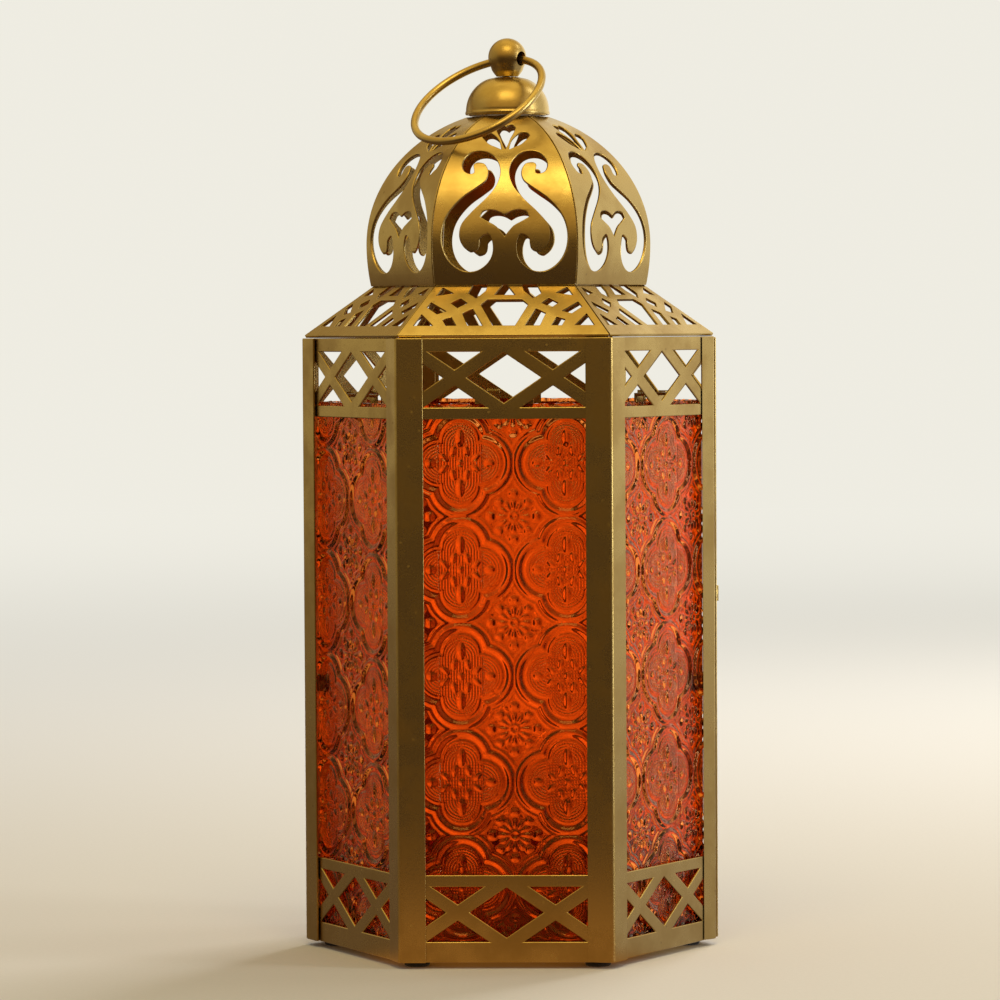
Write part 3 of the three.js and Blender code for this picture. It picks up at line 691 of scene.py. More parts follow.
@dataclass
class Roof:
    """The six pierced roof plates, one eased plate repeated all round."""

    sheets: SheetPieces
    faces: int = 6
    eave_height: float = 196.1
    hem_drop: float = 0.25

    def _hem(self, mesh: bpy.types.Mesh) -> None:
        """Draws the eave's lower edge down, nearly to the posts."""
        for vertex in mesh.vertices:
            if vertex.co.z < (self.eave_height + 0.3) * MM:
                vertex.co.z -= self.hem_drop * MM

    def build(self) -> None:
        """Makes the ring of roof plates."""
        recipe = Recipe("plates_all_round", {"Faces": "NodeSocketInt", "Metal": "NodeSocketMaterial"})
        ring = recipe.around(recipe.take("Geometry"), recipe.take("Faces"))
        recipe.end(ring, recipe.take("Metal"))
        plates = self.sheets.eased_copy("roof_plate_front", "roof_plates")
        self._hem(plates.data)
        finishes = self.sheets.finishes
        recipe.cook(plates, {"Faces": self.faces, "Metal": finishes.materials[Slot.GOLD]})
        finishes.dress(plates, Slot.GOLD)
        hand_over(plates, Body.LANTERN, [f"roof_plate_{face.node_name}" for face in Face])


@dataclass
class Dome:
    """Six bowed gores of sheet metal, pierced with scrolls, a heart and a tulip.

    A gore is drawn flat: X across, Y into the metal and Z up. The openings are drawn on a
    gore of the drawing's size and scaled to the real one. A geometry tree bows the plate on
    two arcs that meet upright at the waist, and sets six of them round the axis.
    """

    finishes: Finishes
    sheet: float = 0.8
    seam: float = 0.3
    foot_height: float = 212.2155
    height: float = 54.2
    waist_radius: float = 39.63
    waist_rise: float = 13.4
    upper_bow: float = 43.602
    lower_bow: float = 73.607
    foot_lift: float = 0.52
    edge: float = 0.26
    rows: int = 64
    drawing: Point = (22.9, 54.4)
    scroll: tuple[tuple[float, float, float], ...] = (
        (9.3, 35, 0.8), (11.2, 35.9, 2.2), (11.9, 38.2, 3.3), (9.6, 40.5, 3.6), (5.4, 40, 3.8),
        (3.3, 36.4, 3.8), (4.2, 32.3, 3.6), (7.6, 28.8, 4.5), (12, 25.2, 5.3), (16.2, 20, 5.3),
        (17.1, 14.4, 5.7), (15.1, 9.6, 6.3), (10.9, 7.1, 6.2), (6.6, 9.4, 5), (5.9, 13.6, 4),
        (6.9, 16.2, 3), (8.5, 18, 1.2))
    heart: tuple[tuple[Point, ...], ...] = (
        ((0, 22), (2.2, 23.2), (4.7, 23.6), (6.8, 23), (7.7, 21.4)),
        ((7.7, 21.4), (5.4, 20.1), (2.9, 18.7), (1.3, 17), (0, 15.3)))
    leaf: tuple[tuple[Point, ...], ...] = (
        ((1.2, 43), (1.9, 45.7), (3.2, 47.4), (5.2, 48.6), (7, 48.4), (7.7, 47.5)),
        ((7.7, 47.5), (6.4, 46), (5, 44.7), (3, 43.8), (1.2, 43)))
    tulip: tuple[tuple[Point, ...], ...] = (
        ((0, 50.5), (0.9, 51.1), (2.1, 51.2), (3.1, 50.2)),
        ((3.1, 50.2), (2.4, 48.3), (1.5, 46.6), (0.8, 44.6), (0, 43.1)))

    def _arc(self, rise: float) -> float:
        """The radius of the outer surface at a height above the waist, in millimetres."""
        bow = self.lower_bow if rise < 0 else self.upper_bow
        return self.waist_radius - bow + math.sqrt(bow**2 - rise**2)

    def _placed(self, points: Iterable[Sequence[float]], side: int) -> list[Point]:
        """Scales drawn points to the real gore, on its right or left half."""
        wide = self.waist_radius * math.tan(math.radians(30)) / self.drawing[0]
        tall = self.height / self.drawing[1]
        return [(side * p[0] * wide, self.foot_height + p[1] * tall) for p in points]

    def _scroll_outline(self) -> list[Point]:
        """Goes down one side of the scroll's middle line and back up the other, without loops."""
        line = smooth_run(self.scroll, 7)
        left, right = [], []
        for i, (x, z, width) in enumerate(line):
            before, after = line[max(i - 1, 0)], line[min(i + 1, len(line) - 1)]
            dx, dz = after[0] - before[0], after[1] - before[1]
            reach = 0.5 * width / math.hypot(dx, dz)
            left.append((x - dz * reach, z + dx * reach))
            right.append((x + dz * reach, z - dx * reach))
        outline = [
            point for point in left + right[::-1]
            if all(math.hypot(point[0] - x, point[1] - z) > 0.49 * width for x, z, width in line)]
        return self._rounded(outline)

    @staticmethod
    def _rounded(outline: list[Point]) -> list[Point]:
        """Rounds an outline's small corners by drawing each point towards its neighbours."""
        for _ in range(3):
            around = zip(outline[-1:] + outline[:-1], outline, outline[1:] + outline[:1])
            outline = [((a[0] + 2 * b[0] + c[0]) / 4, (a[1] + 2 * b[1] + c[1]) / 4) for a, b, c in around]
        return outline

    def _outline(self, runs: Sequence[Sequence[Point]]) -> list[Point]:
        """Joins smooth runs that meet at corners."""
        return [point[:2] for run in runs for point in smooth_run(run, 5)[:-1]]

    def _symmetric(self, runs: Sequence[Sequence[Point]]) -> list[Point]:
        """Joins smooth runs from the top to the foot of an outline and their mirror image."""
        half = [*self._outline(runs), runs[-1][-1]]
        return half + [(-x, z) for x, z in half[-2:0:-1]]

    def _edge_line(self) -> list[Point]:
        """The gore's outer edge, up the right side and down the left."""
        steps = 40
        heights = [self.height * i / steps - self.waist_rise for i in range(steps + 1)]
        waist = self.foot_height + self.waist_rise
        half = [((self._arc(rise) - self.seam) * math.tan(math.radians(30)), waist + rise) for rise in heights]
        return half + [(-x, z) for x, z in reversed(half)]

    def flat_plate(self) -> bpy.types.Object:
        """Draws the flat plate with its openings, gives it thickness and slices it in rows."""
        outlines = [self._edge_line()]
        for runs in (self.heart, self.tulip):
            outlines.append(self._placed(self._symmetric(runs), 1))
        for side in (1, -1):
            outlines.append(self._placed(self._scroll_outline(), side))
            outlines.append(self._placed(self._outline(self.leaf), side))
        shape = bmesh.new()
        for outline in outlines:
            verts = [shape.verts.new((x * MM, 0.0, z * MM)) for x, z in outline]
            for a, b in zip(verts, verts[1:] + verts[:1]):
                shape.edges.new((a, b))
        bmesh.ops.triangle_fill(shape, use_beauty=True, edges=shape.edges)
        bmesh.ops.dissolve_limit(shape, angle_limit=0.01, verts=shape.verts, edges=shape.edges,
                                 use_dissolve_boundaries=False, delimit=set())
        outer = list(shape.faces)
        made = bmesh.ops.extrude_face_region(shape, geom=outer, use_keep_orig=True)
        inner = [item for item in made["geom"] if isinstance(item, bmesh.types.BMVert)]
        for vert in inner:
            vert.co.y += self.sheet * MM
        bmesh.ops.recalc_face_normals(shape, faces=shape.faces)
        plate = new_piece("dome_gores", to_mesh(shape, "dome_gores"))
        eased = plate.modifiers.new("eased_edges", "BEVEL")
        eased.width = self.edge * MM
        eased.segments = 3
        eased.use_clamp_overlap = False
        eased.limit_method = "ANGLE"
        eased.angle_limit = math.radians(50)
        apply_modifiers(plate)
        self._slice(plate.data)
        return plate

    def _slice(self, mesh: bpy.types.Mesh) -> None:
        """Cuts the plate level in rows, and lifts the inner side of its foot off the roof."""
        shape = bmesh.new()
        shape.from_mesh(mesh)
        for i in range(1, self.rows):
            level = (self.foot_height + self.height * i / self.rows) * MM
            everything = [*shape.verts, *shape.edges, *shape.faces]
            bmesh.ops.bisect_plane(
                shape, geom=everything, dist=1e-8, plane_co=(0, 0, level), plane_no=(0, 0, 1))
        for vert in shape.verts:
            if vert.co.z < (self.foot_height + 0.5) * MM:
                vert.co.z += self.foot_lift * vert.co.y / self.sheet
        bmesh.ops.triangulate(shape, faces=[f for f in shape.faces if len(f.verts) > 4])
        shape.to_mesh(mesh)
        shape.free()

    def recipe(self) -> Recipe:
        """Builds the tree that bows a flat plate and sets the gores round the axis."""
        made = Recipe("bowed_gores", {
            "Waist Radius": "NodeSocketFloat", "Waist Height": "NodeSocketFloat",
            "Upper Bow": "NodeSocketFloat", "Lower Bow": "NodeSocketFloat",
            "Seam": "NodeSocketFloat", "Faces": "NodeSocketInt", "Metal": "NodeSocketMaterial"})
        g = made.graph
        x, depth, z = g.split(g.node("GeometryNodeInputPosition"))
        rise = z - made.take("Waist Height")
        above = rise > 0.0
        bow = made.take("Lower Bow") + above * (made.take("Upper Bow") - made.take("Lower Bow"))
        angle = g.maths("ARCSINE", rise / bow)
        centre = made.take("Waist Radius") - bow
        cosine = g.maths("COSINE", angle)
        outer = centre + bow * cosine
        radius = centre + (bow - depth) * cosine
        height = made.take("Waist Height") + (bow - depth) * g.maths("SINE", angle)
        across = x * (radius - made.take("Seam")) / (outer - made.take("Seam"))
        bowed = g.node("GeometryNodeSetPosition", inputs={
            "Geometry": made.take("Geometry"), "Position": g.join(across, -radius, height)})
        made.end(made.around(bowed, made.take("Faces")), made.take("Metal"))
        return made

    def build(self) -> None:
        """Makes the six gores as one piece."""
        gores = self.flat_plate()
        self.recipe().cook(gores, {
            "Waist Radius": self.waist_radius * MM, "Waist Height": (self.foot_height + self.waist_rise) * MM,
            "Upper Bow": self.upper_bow * MM, "Lower Bow": self.lower_bow * MM,
            "Seam": self.seam * MM, "Faces": 6, "Metal": self.finishes.materials[Slot.GOLD]})
        shade(gores.data, 28.0)
        level_normals(gores)
        self.finishes.dress(gores, Slot.GOLD)
        hand_over(gores, Body.LANTERN, [f"dome_gore_{face.node_name}" for face in Face])


@dataclass(frozen=True)
class MotifRelief:
    """The wires of a motif: its height, and its ribs' distance, way along and strength."""

    height: Wire
    rib_line: Wire
    rib_along: Wire
    rib_amount: Wire


@dataclass
class PressedPattern:
    """The relief of the glass: four-lobed motifs on a lattice and a flower in each gap.

    Lengths are in millimetres, and heights are shares of the relief.
    """

    pitch: float = 33.0
    side_reach: float = 6.2
    side_radius: float = 9.0
    end_reach: float = 7.2
    end_radius: float = 8.1
    body_reach: float = 5.9
    body_radius: float = 6.6

    @staticmethod
    def _lens(g: Graph, x: Wire, z: Wire, middle: Point, half: Point, turn: float = 0.0) -> Wire:
        """A lens-shaped boss: one at its middle and zero from its outline on.

        Args:
            g: The graph that the nodes go in.
            x: Place across.
            z: Place up.
            middle: The boss's middle.
            half: Its half sizes.
            turn: Its turn in degrees.

        Returns:
            The boss's height.
        """
        u, v = x - middle[0], z - middle[1]
        c, s = math.cos(math.radians(turn)), math.sin(math.radians(turn))
        if turn:
            u, v = u * c + v * s, v * c - u * s
        u, v = u * (1.0 / half[0]), v * (1.0 / half[1])
        bump = (1.0 - u * u - v * v).clamped()
        return bump * (0.25 + 0.75 * bump)

    @staticmethod
    def _ridge(distance: Wire, place: float, half: float) -> Wire:
        """A rounded ridge along the line where a distance has a given value."""
        part = (distance - place) * (1.0 / half)
        bump = (1.0 - part * part).clamped()
        return bump * (0.2 + 0.8 * bump)

    def motif(self, g: Graph, x: Wire, z: Wire) -> "MotifRelief":
        """One motif of four lobes round a cluster of seeds.

        Args:
            g: The graph that the nodes go in.
            x: Place across, from the motif's middle.
            z: Place up, from the motif's middle.

        Returns:
            The motif's height and ribs.
        """
        ax, az = abs(x), abs(z)
        side = g.length(ax - self.side_reach, az) - self.side_radius
        end = g.length(ax, az - self.end_reach) - self.end_radius
        outline = g.least(side, end)
        level = g.least(az, self.body_reach)
        body = g.length(ax, az - level) - self.body_radius
        field_edge = g.ramp(outline, -1.9, -2.5)
        contour = g.most(
            self._ridge(outline, 0.1, 1.5),
            0.34 * self._ridge(outline, 2.3, 0.7),
            0.36 * self._ridge(outline, -2.6, 0.7),
            0.34 * self._ridge(body, 0.0, 0.7) * field_edge)
        seeds = g.most(
            self._lens(g, ax, az, (0.0, 7.7), (1.8, 3.9)),
            0.9 * self._lens(g, ax, az, (9.2, 0.0), (2.4, 1.9)),
            0.9 * self._lens(g, ax, az, (2.1, 3.6), (1.4, 2.5), 14.0),
            0.85 * self._lens(g, ax, az, (5.0, 1.8), (2.5, 1.3), 38.0),
            0.95 * self._lens(g, x, z, (0.0, 0.0), (1.6, 1.6)))
        field = 0.22 * field_edge - 0.25 * self._lens(g, ax, az, (6.4, 0.0), (1.4, 1.2))
        ribs = g.ramp(outline, -2.8, -3.4) * (1.0 - g.ramp(seeds, 0.0, 0.15))
        inside = body * -1.0 > 0.0
        line = side + inside * (body - side)
        body_along = level + g.maths("ARCTAN2", az - level, ax) * self.body_radius
        side_along = g.maths("ARCTAN2", az, ax - self.side_reach) * self.side_radius
        along = side_along + inside * (body_along - side_along)
        return MotifRelief(g.most(contour, seeds, field), line, along, ribs)

    def flower(self, g: Graph, x: Wire, z: Wire) -> Wire:
        """The flower between four motifs: a ring, twelve petals and eight pointed tips.

        Args:
            g: The graph that the nodes go in.
            x: Place across, from the flower's middle.
            z: Place up, from the flower's middle.

        Returns:
            The height.
        """
        reach = g.length(x, z)
        angle = g.maths("ARCTAN2", z, x)
        petals = g.ramp(g.maths("COSINE", angle * 12.0), -0.6, 0.7)
        tips = g.ramp(g.maths("COSINE", angle * 8.0), -0.3, 0.8)
        tip_place = 6.6 + 0.5 * g.maths("COSINE", angle * 4.0)
        return g.most(
            0.6 * self._ridge(reach, 1.2, 0.7),
            0.75 * petals * self._ridge(reach, 3.5, 2.1),
            0.7 * tips * self._ridge(reach - tip_place, 0.0, 1.6))

    def relief(self, g: Graph, x: Wire, z: Wire) -> MotifRelief:
        """The whole pattern at a place on the pane.

        Args:
            g: The graph that the nodes go in.
            x: Place across, from the middle of a motif.
            z: Place up, from the middle of a motif.

        Returns:
            The height and the ribs.
        """
        column, row = x * (1.0 / self.pitch), z * (1.0 / self.pitch)
        motif_x = (column - g.maths("ROUND", column)) * self.pitch
        motif_z = (row - g.maths("ROUND", row)) * self.pitch
        gap_x = (column - g.maths("FLOOR", column) - 0.5) * self.pitch
        gap_z = (row - g.maths("FLOOR", row) - 0.5) * self.pitch
        motif = self.motif(g, motif_x, motif_z)
        height = g.most(motif.height, self.flower(g, gap_x, gap_z), 0.0)
        return MotifRelief(height, motif.rib_line, motif.rib_along, motif.rib_amount)


@dataclass
class Pane:
    """The place of one pane and of one motif on it, in millimetres in its face's own frame."""

    node: str
    face: Face
    body: Body = Body.LANTERN
    half_width: float = 28.0
    foot: float = 3.5
    top: float = 175.4
    depth: float = 2.2
    motif: Point = (0.0, 0.0)


@dataclass
class Glazing:
    """Six panes of pressed glass."""

    finishes: Finishes
    face_distance: float = 57.7639
    thickness: float = 2.8
    relief: float = 0.8
    grid: float = 0.36
    pattern: PressedPattern = field(default_factory=PressedPattern)
    panes: Sequence[Pane] = (
        Pane("glass_pane_front", Face.FRONT, motif=(-13.8, 25.0)),
        Pane("glass_pane_front_left", Face.FRONT_LEFT, motif=(11.2, 12.9)),
        Pane("glass_pane_front_right", Face.FRONT_RIGHT, motif=(5.6, 23.5)),
        Pane("glass_pane_rear", Face.REAR, motif=(-8.0, 13.0)),
        Pane("glass_pane_rear_left", Face.REAR_LEFT, motif=(12.0, 26.0)),
        Pane("glass_pane_door", Face.REAR_RIGHT, Body.DOOR, 26.7, 4.6, 175.4, 1.1, (3.0, 20.0)))

    def recipe(self) -> Recipe:
        """Builds the tree that presses the pattern into a pane and gives it its walls."""
        made = Recipe("pressed_pane", {
            "Half Width": "NodeSocketFloat", "Foot": "NodeSocketFloat", "Top": "NodeSocketFloat",
            "Back Distance": "NodeSocketFloat", "Thickness": "NodeSocketFloat", "Relief": "NodeSocketFloat",
            "Grid": "NodeSocketFloat", "Motif Across": "NodeSocketFloat", "Motif Up": "NodeSocketFloat",
            "Turn": "NodeSocketFloat", "Glass": "NodeSocketMaterial"})
        g = made.graph
        wide = made.take("Half Width") * 2.0
        tall = made.take("Top") - made.take("Foot")
        middle = made.take("Foot") + tall * 0.5
        flat = g.node("GeometryNodeMeshGrid", inputs={
            "Size X": wide, "Size Y": tall, "Vertices X": wide / made.take("Grid"),
            "Vertices Y": tall / made.take("Grid")})
        x, y, z = g.split(g.node("GeometryNodeInputPosition"))
        across = (x - made.take("Motif Across")) * (1.0 / MM)
        up = (y + middle - made.take("Motif Up")) * (1.0 / MM)
        relief = self.pattern.relief(g, across, up)
        level = made.take("Thickness") - made.take("Relief") * (1.0 - relief.height)
        pressed = g.node("GeometryNodeSetPosition", inputs={"Geometry": flat, "Offset": g.join(0.0, 0.0, level)})
        for name, value in (
                (GlassFinish.line_attribute, relief.rib_line),
                (GlassFinish.along_attribute, relief.rib_along),
                (GlassFinish.amount_attribute, relief.rib_amount)):
            pressed = g.node("GeometryNodeStoreNamedAttribute", {"data_type": "FLOAT", "domain": "POINT"}, {
                "Geometry": pressed, "Name": name, "Value": value})
        rim = g.node("FunctionNodeCompare", {"data_type": "INT", "operation": "EQUAL"}, {
            "A": g.node("GeometryNodeInputMeshEdgeNeighbors"), "B": 1})
        walls = g.node("GeometryNodeExtrudeMesh", {"mode": "EDGES"}, {
            "Mesh": pressed, "Selection": rim, "Offset": (0.0, 0.0, -1.0), "Offset Scale": 0.5 * MM})
        foot_edge = Wire(g, walls.socket.node.outputs["Top"])
        walled = g.node("GeometryNodeSetPosition", inputs={
            "Geometry": walls, "Selection": foot_edge, "Position": g.join(x, y, 0.0)})
        upright = g.node("GeometryNodeTransform", inputs={
            "Geometry": walled, "Rotation": (math.radians(90), 0.0, 0.0),
            "Translation": g.join(0.0, -made.take("Back Distance"), middle)})
        made.end(made.turned(upright, made.take("Turn")), made.take("Glass"))
        return made

    @staticmethod
    def _close_back(mesh: bpy.types.Mesh) -> None:
        """Closes a pane's back with one flat face that has no ribs."""
        shape = bmesh.new()
        shape.from_mesh(mesh)
        ribs = shape.verts.layers.float[GlassFinish.amount_attribute]
        rim = [edge for edge in shape.edges if edge.is_boundary]
        for edge in rim:
            for vert in edge.verts:
                vert[ribs] = 0.0
        bmesh.ops.edgeloop_fill(shape, edges=rim)
        bmesh.ops.recalc_face_normals(shape, faces=shape.faces)
        shape.to_mesh(mesh)
        shape.free()

    def build(self) -> None:
        """Makes each pane from the one tree."""
        recipe = self.recipe()
        for pane in self.panes:
            piece = new_piece(f"{pane.node}_pressed", bpy.data.meshes.new(pane.node))
            recipe.cook(piece, {
                "Half Width": pane.half_width * MM, "Foot": pane.foot * MM, "Top": pane.top * MM,
                "Back Distance": (self.face_distance - pane.depth - self.thickness) * MM,
                "Thickness": self.thickness * MM, "Relief": self.relief * MM, "Grid": self.grid * MM,
                "Motif Across": pane.motif[0] * MM, "Motif Up": pane.motif[1] * MM,
                "Turn": math.radians(pane.face.value), "Glass": self.finishes.materials[Slot.GLASS]})
            self._close_back(piece.data)
            shade(piece.data, 65.0)
            self.finishes.dress(piece, Slot.GLASS)
            hand_over(piece, pane.body, [pane.node])


@dataclass
class Finial:
    """The cap, the ball with its cross hole, and the ring that hangs in it."""

    finishes: Finishes
    cap_foot: float = 267.0155
    cap_radius: float = 13.55
    cap_height: float = 12.0
    cap_side: tuple[Point, ...] = (
        (13.5, 0.15), (13.55, 0.7), (13.35, 1.3), (13.3, 2.2), (12.85, 4.4), (11.8, 6.8), (9.8, 9.3),
        (7.0, 11.2), (3.9, 12.0))
    bore: float = 1.8
    sheet: float = 0.8
    ball_foot: float = 279.3155
    ball_radius: float = 6.1
    neck_radius: float = 3.65
    neck_height: float = 3.1
    neck_step: float = 0.8
    neck_steps: tuple[Point, ...] = ((0.0, 0.25), (0.4, 0.7), (0.9, 1.35), (1.3, 2.05), (1.52, 2.7))
    ring_radius: float = 21.9
    wire_radius: float = 1.25
    ring_azimuth: float = -36.0
    ring_tilt: float = 38.3
    ring_settle: float = 0.4
    ring_slide: float = 1.0
    hole_drop: float = 0.6
    hole_play: float = 0.62
    ring_steps: int = 160
    wire_steps: int = 20

    def cap(self) -> bpy.types.Object:
        """Turns the cap: a rolled foot, a round side and a nearly flat top with a bore."""
        outer = [p[:2] for p in smooth_run(self.cap_side, 6)]
        inner = [(max(r - self.sheet, self.bore), z - self.sheet) for r, z in reversed(outer)]
        top = [(self.bore, self.cap_height), (self.bore, self.cap_height - self.sheet)]
        foot = [(self.cap_radius - self.sheet, 0.15), (self.cap_radius - self.sheet + 0.15, 0.0),
                (self.cap_radius - 0.2, 0.0)]
        profile = [*outer, *top, *[p for p in inner if p[1] > 0.3 and p[0] > self.bore], *foot]
        shape = lathe(profile, 96, closed=True)
        bmesh.ops.translate(shape, verts=shape.verts, vec=(0, 0, self.cap_foot * MM))
        piece = new_piece("cap_turned", to_mesh(shape, "cap_turned"))
        shade(piece.data, 40.0)
        return piece

    @property
    def ball_middle(self) -> float:
        """The height of the ball's middle."""
        neck_top = self.ball_radius - self.neck_step
        return self.ball_foot + self.neck_height + math.sqrt(self.ball_radius**2 - neck_top**2)

    def _rod(self, radius: float, length: float, matrix: Matrix) -> bpy.types.Object:
        """A plain rod that cuts a hole, along X before it is placed."""
        shape = bmesh.new()
        bmesh.ops.create_cone(
            shape, cap_ends=True, segments=48, radius1=radius * MM, radius2=radius * MM, depth=length * MM,
            matrix=matrix @ Matrix.Rotation(math.radians(90), 4, "Y"))
        return new_piece("hole_cutter", to_mesh(shape, "hole_cutter"))

    def ball(self) -> bpy.types.Object:
        """Turns the ball on its neck and bores the cross hole and the screw's hole."""
        middle = self.ball_middle
        start = -math.degrees(math.acos((self.ball_radius - self.neck_step) / self.ball_radius))
        round_part = arc((0.0, middle), self.ball_radius, start, 90, 40)
        foot = [(0.0, self.ball_foot), (self.neck_radius - 0.15, self.ball_foot)]
        neck = [(self.neck_radius + step, self.ball_foot + rise) for step, rise in self.neck_steps]
        profile = [*foot, *neck, *round_part[:-1], (0.0, middle + self.ball_radius)]
        piece = new_piece("ball_turned", to_mesh(lathe(profile, 96), "ball_turned"))
        sag = self.ball_radius**2 / (2.0 * self.ring_radius)
        across = Matrix.Translation((0, 0, (middle - self.hole_drop) * MM)) @ Matrix.Rotation(
            math.radians(self.ring_azimuth), 4, "Z")
        upright = Matrix.Translation((0, 0, self.ball_foot * MM)) @ Matrix.Rotation(math.radians(90), 4, "Y")
        cutters = [
            self._rod(self.wire_radius + sag / 2 + self.hole_play, 4 * self.ball_radius, across),
            self._rod(self.bore, 5.4, upright)]
        for cutter in cutters:
            hole = piece.modifiers.new("hole", "BOOLEAN")
            hole.operation = "DIFFERENCE"
            hole.solver = "EXACT"
            hole.object = cutter
        rounded = piece.modifiers.new("rounded_mouth", "BEVEL")
        rounded.width = 0.12 * MM
        rounded.segments = 2
        rounded.limit_method = "ANGLE"
        rounded.angle_limit = math.radians(40)
        apply_modifiers(piece)
        for cutter in cutters:
            bpy.data.meshes.remove(cutter.data)
        shade(piece.data, 40.0)
        return piece

    def ring(self) -> bpy.types.Object:
        """Bends the wire ring where it leans on the cap, through the ball's hole."""
        sag = self.ball_radius**2 / (2.0 * self.ring_radius)
        place = (Matrix.Translation((0, 0, (self.ball_middle - self.hole_drop) * MM))
                 @ Matrix.Rotation(math.radians(self.ring_azimuth), 4, "Z")
                 @ Matrix.Rotation(math.radians(self.ring_tilt), 4, "X")
                 @ Matrix.Translation(Vector((self.ring_slide, sag / 2 - self.ring_radius, -self.ring_settle)) * MM))
        shape = bmesh.new()
        loops = []
        for i in range(self.ring_steps):
            a = 2 * math.pi * i / self.ring_steps
            loop = []
            for j in range(self.wire_steps):
                b = 2 * math.pi * j / self.wire_steps
                reach = (self.ring_radius + self.wire_radius * math.cos(b)) * MM
                point = (reach * math.cos(a), reach * math.sin(a), self.wire_radius * MM * math.sin(b))
                loop.append(shape.verts.new(place @ Vector(point)))
            loops.append(loop)
        for low, high in zip(loops, loops[1:] + loops[:1]):
            for j in range(self.wire_steps):
                k = (j + 1) % self.wire_steps
                shape.faces.new((low[j], high[j], high[k], low[k]))
        bmesh.ops.recalc_face_normals(shape, faces=shape.faces)
        piece = new_piece("ring_bent", to_mesh(shape, "ring_bent"))
        piece.data.shade_smooth()
        return piece

    def build(self) -> None:
        """Makes the three pieces and hands them over."""
        for piece, body, node in (
                (self.cap(), Body.LANTERN, "cap"),
                (self.ball(), Body.LANTERN, "finial_ball"),
                (self.ring(), Body.HANDLE, "ring_handle")):
            self.finishes.dress(piece, Slot.GOLD)
            hand_over(piece, body, [node])


@dataclass
class Fittings:
    """The small turned pieces: candle cup, feet, hinge pins and the finial's screw."""

    finishes: Finishes
    sheets: SheetPieces
    foot_reach: float = 56.5
    foot_profile: tuple[Point, ...] = (
        (0, 0), (3.45, 0), (3.75, 0.12), (3.95, 0.35), (4.0, 0.7), (4.0, 1.85), (3.9, 2.05), (3.75, 2.1), (0, 2.1))
    cup_foot: float = 3.5
    cup_profile: tuple[Point, ...] = (
        (0, 0), (20.6, 0), (20.9, 0.15), (21, 0.45), (21, 13.3), (21.25, 13.65), (21.5, 13.75), (21.6, 13.87),
        (21.5, 13.98), (20.6, 14), (20.3, 13.8), (20.2, 13.4), (20.2, 1.1), (20.05, 0.88), (19.8, 0.8), (0, 0.8))

    def feet(self) -> None:
        """Turns the six feet, each one its own piece."""
        for angle in range(0, 360, 60):
            name = f"foot_corner_{angle}"
            shape = lathe(self.foot_profile, 48)
            reach = Vector((self.foot_reach * MM, 0, 0))
            bmesh.ops.translate(shape, verts=shape.verts, vec=Matrix.Rotation(math.radians(angle), 3, "Z") @ reach)
            piece = new_piece(f"{name}_turned", to_mesh(shape, f"{name}_turned"))
            shade(piece.data, 35.0)
            self.finishes.dress(piece, Slot.RUBBER)
            hand_over(piece, Body.LANTERN, [name])

    def cup(self) -> None:
        """Turns the candle cup with its rolled lip."""
        shape = lathe(self.cup_profile, 96)
        bmesh.ops.translate(shape, verts=shape.verts, vec=(0, 0, self.cup_foot * MM))
        piece = new_piece("candle_cup_turned", to_mesh(shape, "candle_cup_turned"))
        shade(piece.data, 50.0)
        self.finishes.dress(piece, Slot.GOLD)
        hand_over(piece, Body.LANTERN, ["candle_cup"])

    def pins(self) -> None:
        """Eases the steel pieces: two hinge pins and the finial's screw."""
        for node in ("hinge_pin_lower", "hinge_pin_upper", "finial_screw"):
            piece = self.sheets.eased_copy(node, f"{node}_turned")
            self.finishes.dress(piece, Slot.STEEL)
            hand_over(piece, Body.LANTERN, [node])

    def build(self) -> None:
        """Makes all the small pieces."""
        self.feet()
        self.cup()
        self.pins()


